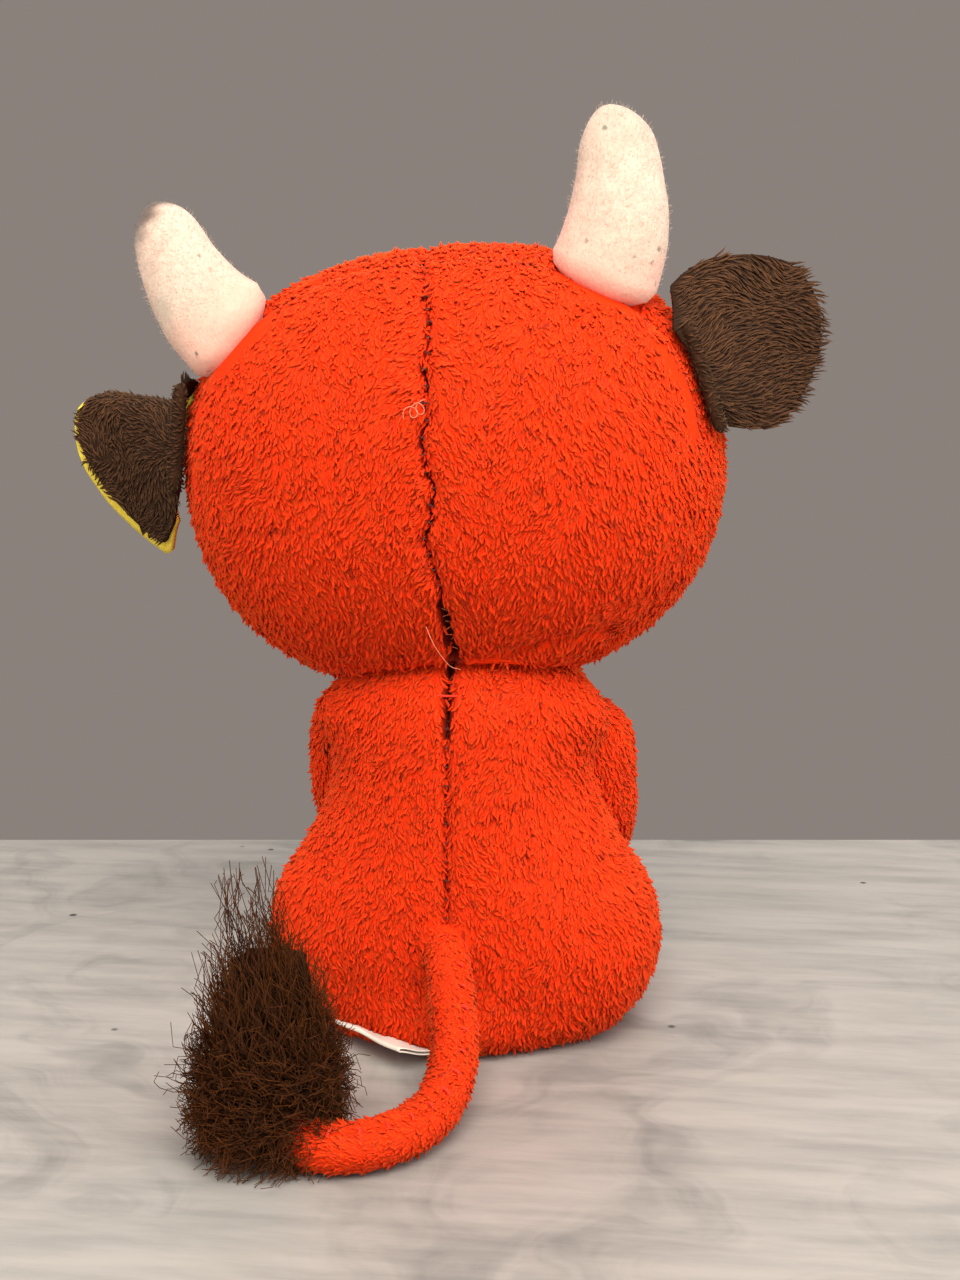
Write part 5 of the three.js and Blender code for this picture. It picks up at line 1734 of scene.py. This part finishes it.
class PLUSH_OT_horns(bpy.types.Operator):
    """Makes the two felt horns with their fuzz"""
    bl_idname = "plush.horns"
    bl_label = "Horns"

    def execute(self, context):
        for number, (name, horn) in enumerate(HORNS.items()):
            points, faces = sheet_of_rings(self.rings(horn["side"]))
            points = points + 0.22 * noise_at(points, 5, 50 + number)
            matrix = horn_place(horn)
            skin = object_from(f"horn_cover_{name}_felt", surface(points, faces, matrix))
            local, _ = points_of(skin)
            height = placed(matrix.inverted(), local)[:, 2]
            paint(skin, "pile", smoothstep(-0.5, 1.5, height))
            paint(skin, "comb", np.tile(np.array(matrix)[:3, 2], (len(local), 1)))
            paint(skin, "along", np.clip(height / HORN_LENGTH, 0, 1))
            stain = smoothstep(0.8, 0.97, height / HORN_LENGTH + 0.05 * noise_at(local, 2.5, 77)[:, 0])
            paint(skin, "deep", stain * horn["stain"])
            with_pile(skin, 0, "horn_felt", "horn_felt", *HORN_FUZZ, 150 + number)
            finish_piece(skin, f"{name}_horn", [f"horn_cover_{name}"])
        return {"FINISHED"}

    def rings(self, side):
        """Rings of a horn's felt: its flattened root, and its curved length with a ridge at each edge"""
        end = (-side * HORN_LENGTH * HORN_CURL, 0, HORN_LENGTH)
        place, along = bent_line((0, 0, 0), (0, 0, HORN_LENGTH / 2), end)
        angles = turns(56)
        c, s = np.cos(angles)[:, None], np.sin(angles)[:, None]
        ridge = 1 + 0.035 * np.exp(-(s / 0.12) ** 2)
        root = HORN_ROOT
        rings = [oval(-root[2] * math.sin(a) * Z, root[0] * X, root[1] * Y, angles, math.cos(a))
                 for a in np.radians([75, 50, 25])]
        for t in shares_to_tip(HORN_TIP, 34, 14):
            wide = np.cross(Y, along(np.array(t)))
            half_wide, half_thick = horn_halves(t)
            rings.append(place(np.array(t)) + half_wide * c * ridge * wide + half_thick * s * Y)
        return rings


def ear_sheet(ear, depth, grow=0.0, first=0.0):
    """Rows of points of one layer of an ear, from its root to its rim"""
    side, bend_full = ear["side"], math.radians(ear["crease"])

    def direction(angle):
        return np.array([side * math.cos(math.radians(angle)), 0, math.sin(math.radians(angle))])

    length, lift = EAR_LENGTH + grow, ear["lift"]
    place, along = bent_line((0, 0, 0), direction(lift / 2) * length / 2, direction(lift) * length)
    rows = []
    for t in [*shares_to_tip(EAR_TIP, 16, 16, first), 1.0]:
        t = min(t, 0.9995)
        wide = np.cross(along(np.array(t)), Y) * side
        half = EAR_WIDTH * share_at(EAR_WIDTHS, t) * tip_rounding(t, EAR_TIP)
        bend = bend_full * min(t / CREASE_FADE, 1)
        row = []
        droop = ear["droop"] * np.interp(t, *EAR_DROOP)
        shown = smoothstep(0.1, 0.3, t) if grow > 0 else 1
        beyond_rim = (grow * tip_rounding(t, 0.8) * shown + droop) / max(half, 1)
        for out in np.linspace(-1 - beyond_rim, 1 + min(grow, 0) / max(half, 1), 33) * half:
            beyond = max(out - CREASE_RISE, 0)
            turn = min(beyond / CREASE_RADIUS, bend)
            straight = beyond - turn * CREASE_RADIUS
            rise = min(out, CREASE_RISE) + CREASE_RADIUS * math.sin(turn) + straight * math.cos(turn)
            forward = CREASE_RADIUS * (1 - math.cos(turn)) + straight * math.sin(turn)
            cupped = EAR_CUP * (min(out, 0 if bend > 0 else out) / EAR_WIDTH) ** 2
            row.append(place(np.array(t)) + wide * (rise + depth * math.sin(turn))
                       + Y * (depth * math.cos(turn) - forward - cupped))
        rows.append(row)
    return np.array(rows)


def grid_surface(rows, matrix):
    """A bmesh over rows of points"""
    count = rows.shape[1]
    faces = [(r * count + i, r * count + i + 1, (r + 1) * count + i + 1, (r + 1) * count + i)
             for r in range(len(rows) - 1) for i in range(count - 1)]
    bm = open_surface(rows.reshape(-1, 3), faces, matrix)
    bmesh.ops.remove_doubles(bm, verts=bm.verts, dist=1e-3)
    bmesh.ops.dissolve_degenerate(bm, dist=1e-4, edges=bm.edges)
    return bm


def face_backwards(obj, ear, matrix):
    """Turns a layer of an ear so that its faces look to the ear's back on the whole"""
    back = Vector(np.array(matrix)[:3, 1] + (0, 0, 0.3 if ear["crease"] else 0))
    if sum(p.area * p.normal.dot(back) for p in obj.data.polygons) < 0:
        obj.data.flip_normals()


class PLUSH_OT_ears(bpy.types.Operator):
    """Makes the two ears: brown pile at the back, yellow felt at the front, on a rolled root"""
    bl_idname = "plush.ears"
    bl_label = "Ears"

    def execute(self, context):
        length = plush().ear_pile / MM
        for number, (name, ear) in enumerate(EARS.items()):
            matrix = ear_place(ear)
            rows = ear_sheet(ear, SEAM_GAP / 2 + 0.35)
            skin = object_from(f"ear_back_{name}_plush", grid_surface(rows, matrix))
            face_backwards(skin, ear, matrix)
            local, _ = points_of(skin)
            inside = depth_in(HEAD, placed(Matrix(HEAD_PLACE).inverted(), local))
            paint(skin, "pile", smoothstep(0.6, -0.2, inside))
            way = np.array(matrix)[:3, 0] * ear["side"]
            flattened, combed = (0.7, 0.35) if ear["crease"] else (1, 1)
            comb = way * combed + (0, 0, -0.25) + 0.9 * noise_at(local, 8, 70 + number)
            paint(skin, "comb", comb)
            plush_pile(skin, "brown", 170 + number, length * flattened, 0.36, 0.42, 0.8, 0.3)
            merged(skin, self.root_roll(name, ear, matrix))
            finish_piece(skin, f"{name}_ear", [f"ear_back_{name}"])
            self.lining(name, ear, matrix)
        return {"FINISHED"}

    def root_roll(self, name, ear, matrix):
        """The rolled edge that is caught in the crown seam"""
        half = EAR_WIDTH * EAR_WIDTHS[0] - EAR_ROOT
        rings = []
        for z in np.linspace(-1, 1, 25) * (half + EAR_ROOT):
            over = max(abs(z) - half, 0) / EAR_ROOT
            rings.append(oval(z * Z, X, Y, turns(20), EAR_ROLL * math.sqrt(max(1 - over ** 2, 0.02))))
        roll = object_from(f"ear_root_{name}", surface(*sheet_of_rings(rings), matrix))
        count = len(roll.data.vertices)
        paint(roll, "pile", np.ones(count))
        paint(roll, "comb", np.tile(np.array(matrix)[:3, 0] * ear["side"], (count, 1)))
        return plush_pile(roll, "brown", 7, 1.0, 0.42, 0.42, 0.75, 0.3, wall=0)

    def lining(self, name, ear, matrix):
        """Yellow felt that shows as a thin edge beyond the brown pile"""
        rows = ear_sheet(ear, -SEAM_GAP / 2 - 0.1, ear["edge"], 0.1)
        felt = object_from(f"ear_lining_{name}_felt", grid_surface(rows, matrix))
        face_backwards(felt, ear, matrix)
        walled(felt, EAR_FELT - 0.1)
        dress(felt, "ear_felt")
        finish_piece(felt, f"{name}_ear", [f"ear_lining_{name}"])


SLACK_END = ((2.4, -21.4, -0.3), (1.7, -23.6, 0.5), (1.0, -25.6, 0.6), (0.2, -27.6, 0.4), (-0.8, -29.2, -0.5))


class PLUSH_OT_threads(bpy.types.Operator):
    """Sews the seams: the thread round the neck, the closing stitches and the rows along the back"""
    bl_idname = "plush.threads"
    bl_label = "Threads"

    def execute(self, context):
        rise = 7.5
        radius = math.sqrt((NECK_RADIUS - 1.5) ** 2 - rise ** 2)
        ring = oval(NECK + rise * Z, X, Y, np.linspace(0, 2 * math.pi, 97), radius)
        neck = strands("neck_gathering_thread", [ring], 0.18, 8, "red_thread")
        finish_piece(neck, "neck", ["neck_thread"])
        self.closing()
        self.back_rows()
        return {"FINISHED"}

    def closing(self):
        """Lacing, mostly sunk in the head's stuffing hole, with a slack strand and a small loop over it"""
        laced = [(1 if i % 2 else -1, -19 - 9 * i / 8, -3.1 - 0.3 * math.sin(i * 2.2)) for i in range(9)]
        laced = rounded_line(traced(HEAD, laced, back=True), np.linspace(0, 1, 60))
        slack = rounded_line(traced(HEAD, SLACK_END, back=True), np.linspace(0, 1, 30))
        loop = traced(HEAD, [
            (0.7 - 0.15 * turn + 0.75 * math.cos(turn), 8.5 + 0.06 * turn + 0.85 * math.sin(turn),
             0.45 + 0.25 * math.sin(1.7 * turn)) for turn in np.linspace(-0.6, 4.6 * math.pi, 60)
        ], back=True)
        sewn = strands("head_closing_strand", [laced, slack, loop], 0.065, 6, "pale_thread")
        finish_piece(sewn, "head", ["head_closing_thread"])

    def back_rows(self):
        """Stitches that show in the seams of the head and the torso, in dark brown thread that is partly a
        real seam and partly painted shade in the seam grooves
        """
        seam = [(seam_line(z), z, -1.75) for z in np.linspace(27, -16, 60)]
        up = [on_front(HEAD, x, z, back=True)[1] for x, z, _ in seam] @ np.array(HEAD_PLACE)[:3, :3].T
        line = traced(HEAD, seam, back=True)
        head = stitches("head_seam_stitches", line, up, 2.4, 0.8, 5, "brown_thread")
        finish_piece(head, "head")
        line = np.array([(0.0, torso_level(torso_share(min(z, NECK[2])), 0)[1]["back"] - 1.6, z)
                         for z in np.linspace(50, 22, 50)])
        up = np.tile(Y, (len(line), 1))
        torso = stitches("back_seam_stitches", line, up, 2.6, 0.7, 6, "brown_thread")
        finish_piece(torso, "torso")


LABEL = {
    "width": 17, "sunk": 1.0, "shown": 7.0, "height": 0.65, "place": 76, "turn": -42, "lift": 2.5,
    "thickness": 0.14,
}


class PLUSH_OT_label(bpy.types.Operator):
    """Folds the blank ribbon label that is sewn into the base seam"""
    bl_idname = "plush.label"
    bl_label = "Label"

    def execute(self, context):
        _, reach, roundness = torso_level(torso_share(LABEL["height"]), 0)
        rim = section(reach, roundness, np.radians([LABEL["place"]]), LABEL["height"])[0]
        turn = Matrix.Translation(rim) @ Matrix.Rotation(math.radians(LABEL["turn"]), 4, "Z")
        half, sunk, shown = LABEL["width"] / 2, LABEL["sunk"], LABEL["shown"]
        out = np.linspace(-sunk, shown, 18)
        rise = 0.6 + LABEL["lift"] * (out + sunk) / (shown + sunk)
        end = [(shown + 0.3 * math.sin(a), rise[-1] + 0.1 + 0.27 * math.cos(a)) for a in (0.6, 1.57, 2.5)]
        path = [*zip(out, rise + 0.37), *end, *zip(out[::-1], rise[::-1] - 0.17)]
        rows = np.array([[(across, out, high + 0.12 * math.sin(across * 0.6 + out))
                          for across in np.linspace(-half, half, 24)] for out, high in path])
        label = object_from("sewn_label_ribbon", grid_surface(rows, turn))
        walled(label, LABEL["thickness"], offset=0)
        kept_above(label, LEAST_HEIGHT)
        dress(label, "label_ribbon")
        finish_piece(label, "torso", ["sewn_label"])
        return {"FINISHED"}


class PLUSH_OT_stuffing(bpy.types.Operator):
    """Fills the covers: fibre in the head, body, legs and horns, and pellets in the seat"""
    bl_idname = "plush.stuffing"
    bl_label = "Stuffing"

    def execute(self, context):
        depth = 2.6
        directions, faces = box_ball(20)
        points = on_rounded(HEAD, directions, depth)
        far = np.linalg.norm(points, axis=1)
        inside = far < NECK_RADIUS + 2.4
        points[inside] *= ((NECK_RADIUS + 2.4) / far[inside])[:, None]
        points[:, 1] -= 1.6 * np.exp(-((points[:, 0] - HEAD_CENTRE[0]) / 3) ** 2) * (points[:, 1] > 5)
        self.fill("head_stuffing", points, faces, "head", 1.0, HEAD_PLACE)
        points, faces = torso_cover(depth)
        points = pushed_clear(points, 1.8)
        points[:, 2] = np.maximum(points[:, 2], 2.2)
        points[:, 1] -= 1.4 * np.exp(-(points[:, 0] / 3) ** 2) * (points[:, 1] > 5)
        split = PELLET_HEIGHT + 0.5
        upper, lower = points.copy(), points.copy()
        upper[:, 2], lower[:, 2] = np.maximum(points[:, 2], split), np.minimum(points[:, 2], split - 1.2)
        self.fill("body_stuffing", upper, faces, "torso", 0.5)
        self.fill("pellet_bag", lower, faces, "torso", 0.35)
        for name, side in SIDES.items():
            for kind, line, sizes in (("foreleg", foreleg_line(side), FORELEG),
                                      ("hind_leg", hind_leg_line(side), HIND_LEG)):
                points, faces = sheet_of_rings(limb_rings(line, sizes, 2.3, 12, 24))
                self.fill(f"{kind}_stuffing_{name}", points, faces, f"{name}_{kind}", 0.3)
            points, faces = sheet_of_rings(self.horn_rings(side))
            self.fill(f"horn_stuffing_{name}", points, faces, f"{name}_horn", 0.2, horn_place(HORNS[name]))
        return {"FINISHED"}

    def horn_rings(self, side):
        """Rings of a horn's filling"""
        place, _ = bent_line((0, 0, 0), (0, 0, 9.5), (-side * 7.4, 0, 18.5))
        wide, thick = HORN_WIDTH - 1.6, HORN_THICKNESS - 1.6
        rings = []
        for t in (0, 0.15, 0.3, 0.45, 0.6, 0.7, 0.8, 0.9, 0.96):
            closing = tip_rounding(t, 0.7)
            half = wide * share_at((0.9, 0.95, 0.9, 0.8, 0.62), t) * closing
            rings.append(oval(place(np.array(t)), half * X, thick * closing * Y, turns(20)))
        return rings

    def fill(self, node_name, points, faces, body, lumps, matrix=Matrix.Identity(4)):
        """One lump of filling"""
        pellets = node_name == "pellet_bag"
        name = f"{node_name}_cloth" if pellets else f"{node_name}_fibre"
        bm = surface(points, faces)
        bmesh.ops.remove_doubles(bm, verts=bm.verts, dist=0.02)
        bmesh.ops.transform(bm, matrix=matrix, verts=bm.verts)
        obj = object_from(name, bm)
        local, normals = points_of(obj)
        rough = np.abs(noise_at(local, 2.2 if pellets else 5.0, 90)[:, 0])
        move_points(obj, local - normals * (lumps * rough)[:, None])
        dress(obj, "pellet_cloth" if pellets else "stuffing_fibre")
        finish_piece(obj, body, [node_name])


EYE, HEADING, PITCH = (-41.9, 281.9, 110), (0.1392, -0.9903, 0), math.radians(10)
TABLE = {"reach": 1.6, "thickness": 0.03, "bevel": 0.0015, "vein": (0.13, 0.126, 0.112)}
LAMPS = {
    "key_lamp": {"place": (-0.5, 0.05, 0.6), "size": 0.5, "power": 9.2, "tone": (1, 0.97, 0.93)},
    "fill_lamp": {"place": (-0.4, 0.6, 0.25), "size": 0.6, "power": 4.2, "tone": (0.95, 0.97, 1)},
    "low_lamp": {"place": (-0.35, -0.55, 0.12), "size": 0.5, "power": 2.3, "tone": (1, 0.96, 0.93)},
    "far_lamp": {"place": (0.5, 0, 0.8), "size": 0.6, "power": 3.0, "tone": (1, 1, 1)},
}


class PLUSH_OT_stage(bpy.types.Operator):
    """Sets the table, the wall, the lamps and the camera"""
    bl_idname = "plush.stage"
    bl_label = "Table, light and camera"

    def execute(self, context):
        s = context.scene.table_settings
        eye, heading = Vector(EYE) * MM, Vector(HEADING).normalized()
        look = heading * math.cos(PITCH) - Vector(Z) * math.sin(PITCH)
        data = bpy.data.cameras.new("view_camera")
        data.lens, data.sensor_width, data.sensor_fit = s.lens, 36, "AUTO"
        data.clip_start, data.clip_end = 0.01, 10
        camera = bpy.data.objects.new("view_camera", data)
        camera.location, camera.rotation_euler = eye, look.to_track_quat("-Z", "Y").to_euler()
        context.scene.collection.objects.link(camera)
        context.scene.camera = camera
        self.table(eye, heading, s)
        self.world(context, s)
        self.lamps(context, heading)
        context.scene.view_settings.view_transform = "Standard"
        return {"FINISHED"}

    def table(self, eye, heading, s):
        """A slab whose far edge lies square to the camera's heading"""
        half, thickness = TABLE["reach"], TABLE["thickness"]
        centre = Vector((eye.x, eye.y, -thickness / 2)) + heading * (s.table_reach - half) / 2
        turn = Vector(Y).rotation_difference(heading).to_matrix().to_4x4()
        size = Matrix.Diagonal((2 * half, s.table_reach + half, thickness, 1))
        bm = bmesh.new()
        bmesh.ops.create_cube(bm, size=1, matrix=Matrix.Translation(centre) @ turn @ size)
        bmesh.ops.bevel(bm, geom=list(bm.edges), offset=TABLE["bevel"], segments=3, affect="EDGES")
        mesh = bpy.data.meshes.new("table_top")
        bm.to_mesh(mesh)
        bm.free()
        slab = add_object("table_top", mesh)
        mesh.materials.append(table_material(s.stone, TABLE["vein"]))

    def world(self, context, s):
        """A plain wall to the camera, and an even pale light to everything else"""
        world = bpy.data.worlds.new("studio")
        context.scene.world = world
        world.use_nodes = True
        tree = world.node_tree
        tree.nodes.clear()
        rays = node(tree, "ShaderNodeLightPath").outputs
        seen = combined(tree, "MAXIMUM", rays["Is Camera Ray"], rays["Is Glossy Ray"])
        seen = combined(tree, "MAXIMUM", seen, rays["Is Transmission Ray"])
        wall = node(tree, "ShaderNodeBackground", {"Color": rgba(s.wall), "Strength": 1.0})
        light = node(tree, "ShaderNodeBackground", {"Color": (0.93, 0.96, 1.0, 1), "Strength": 0.5})
        either = node(tree, "ShaderNodeMixShader", {0: seen, 1: light.outputs[0], 2: wall.outputs[0]})
        node(tree, "ShaderNodeOutputWorld", {"Surface": either.outputs[0]})

    def lamps(self, context, heading):
        """A key lamp over the camera, one at its right, a low one at its left and one beyond the cow"""
        side = Vector((heading.y, -heading.x, 0))
        aim = Vector((0, 0, 0.06))
        for name, given in LAMPS.items():
            data = bpy.data.lights.new(name, "AREA")
            data.size, data.energy, data.color = given["size"], given["power"], given["tone"]
            lamp = bpy.data.objects.new(name, data)
            ahead, right, high = given["place"]
            lamp.location = heading * ahead + side * right + Vector(Z) * high
            lamp.rotation_euler = (aim - lamp.location).to_track_quat("-Z", "Y").to_euler()
            context.scene.collection.objects.link(lamp)


class PLUSH_PT_sidebar(bpy.types.Panel):
    """Lists what can be made, with the settings that it is made from"""
    bl_idname = "PLUSH_PT_sidebar"
    bl_label = "Plush Cow"
    bl_space_type = "VIEW_3D"
    bl_region_type = "UI"
    bl_category = "Plush Cow"

    def draw(self, context):
        for settings in (context.scene.plush_settings, context.scene.table_settings):
            box = self.layout.box()
            for name in settings.__annotations__:
                box.prop(settings, name)
        for operator in OPERATORS:
            self.layout.operator(operator.bl_idname)


OPERATORS = (
    PLUSH_OT_stage, PLUSH_OT_head, PLUSH_OT_muzzle, PLUSH_OT_eyes, PLUSH_OT_horns, PLUSH_OT_ears,
    PLUSH_OT_torso, PLUSH_OT_legs, PLUSH_OT_tail, PLUSH_OT_tuft, PLUSH_OT_threads, PLUSH_OT_label,
    PLUSH_OT_stuffing,
)
CLASSES = (PlushSettings, TableSettings, *OPERATORS, PLUSH_PT_sidebar)


def register():
    """Adds the settings, the operators and the panel"""
    for item in CLASSES:
        bpy.utils.register_class(item)
    bpy.types.Scene.plush_settings = bpy.props.PointerProperty(type=PlushSettings)
    bpy.types.Scene.table_settings = bpy.props.PointerProperty(type=TableSettings)


def unregister():
    """Takes them away again"""
    del bpy.types.Scene.table_settings
    del bpy.types.Scene.plush_settings
    for item in reversed(CLASSES):
        bpy.utils.unregister_class(item)


def main():
    """Makes every piece in order"""
    register()
    for operator in OPERATORS:
        family, _, name = operator.bl_idname.partition(".")
        getattr(getattr(bpy.ops, family), name)()


if __name__ == "__main__":
    main()
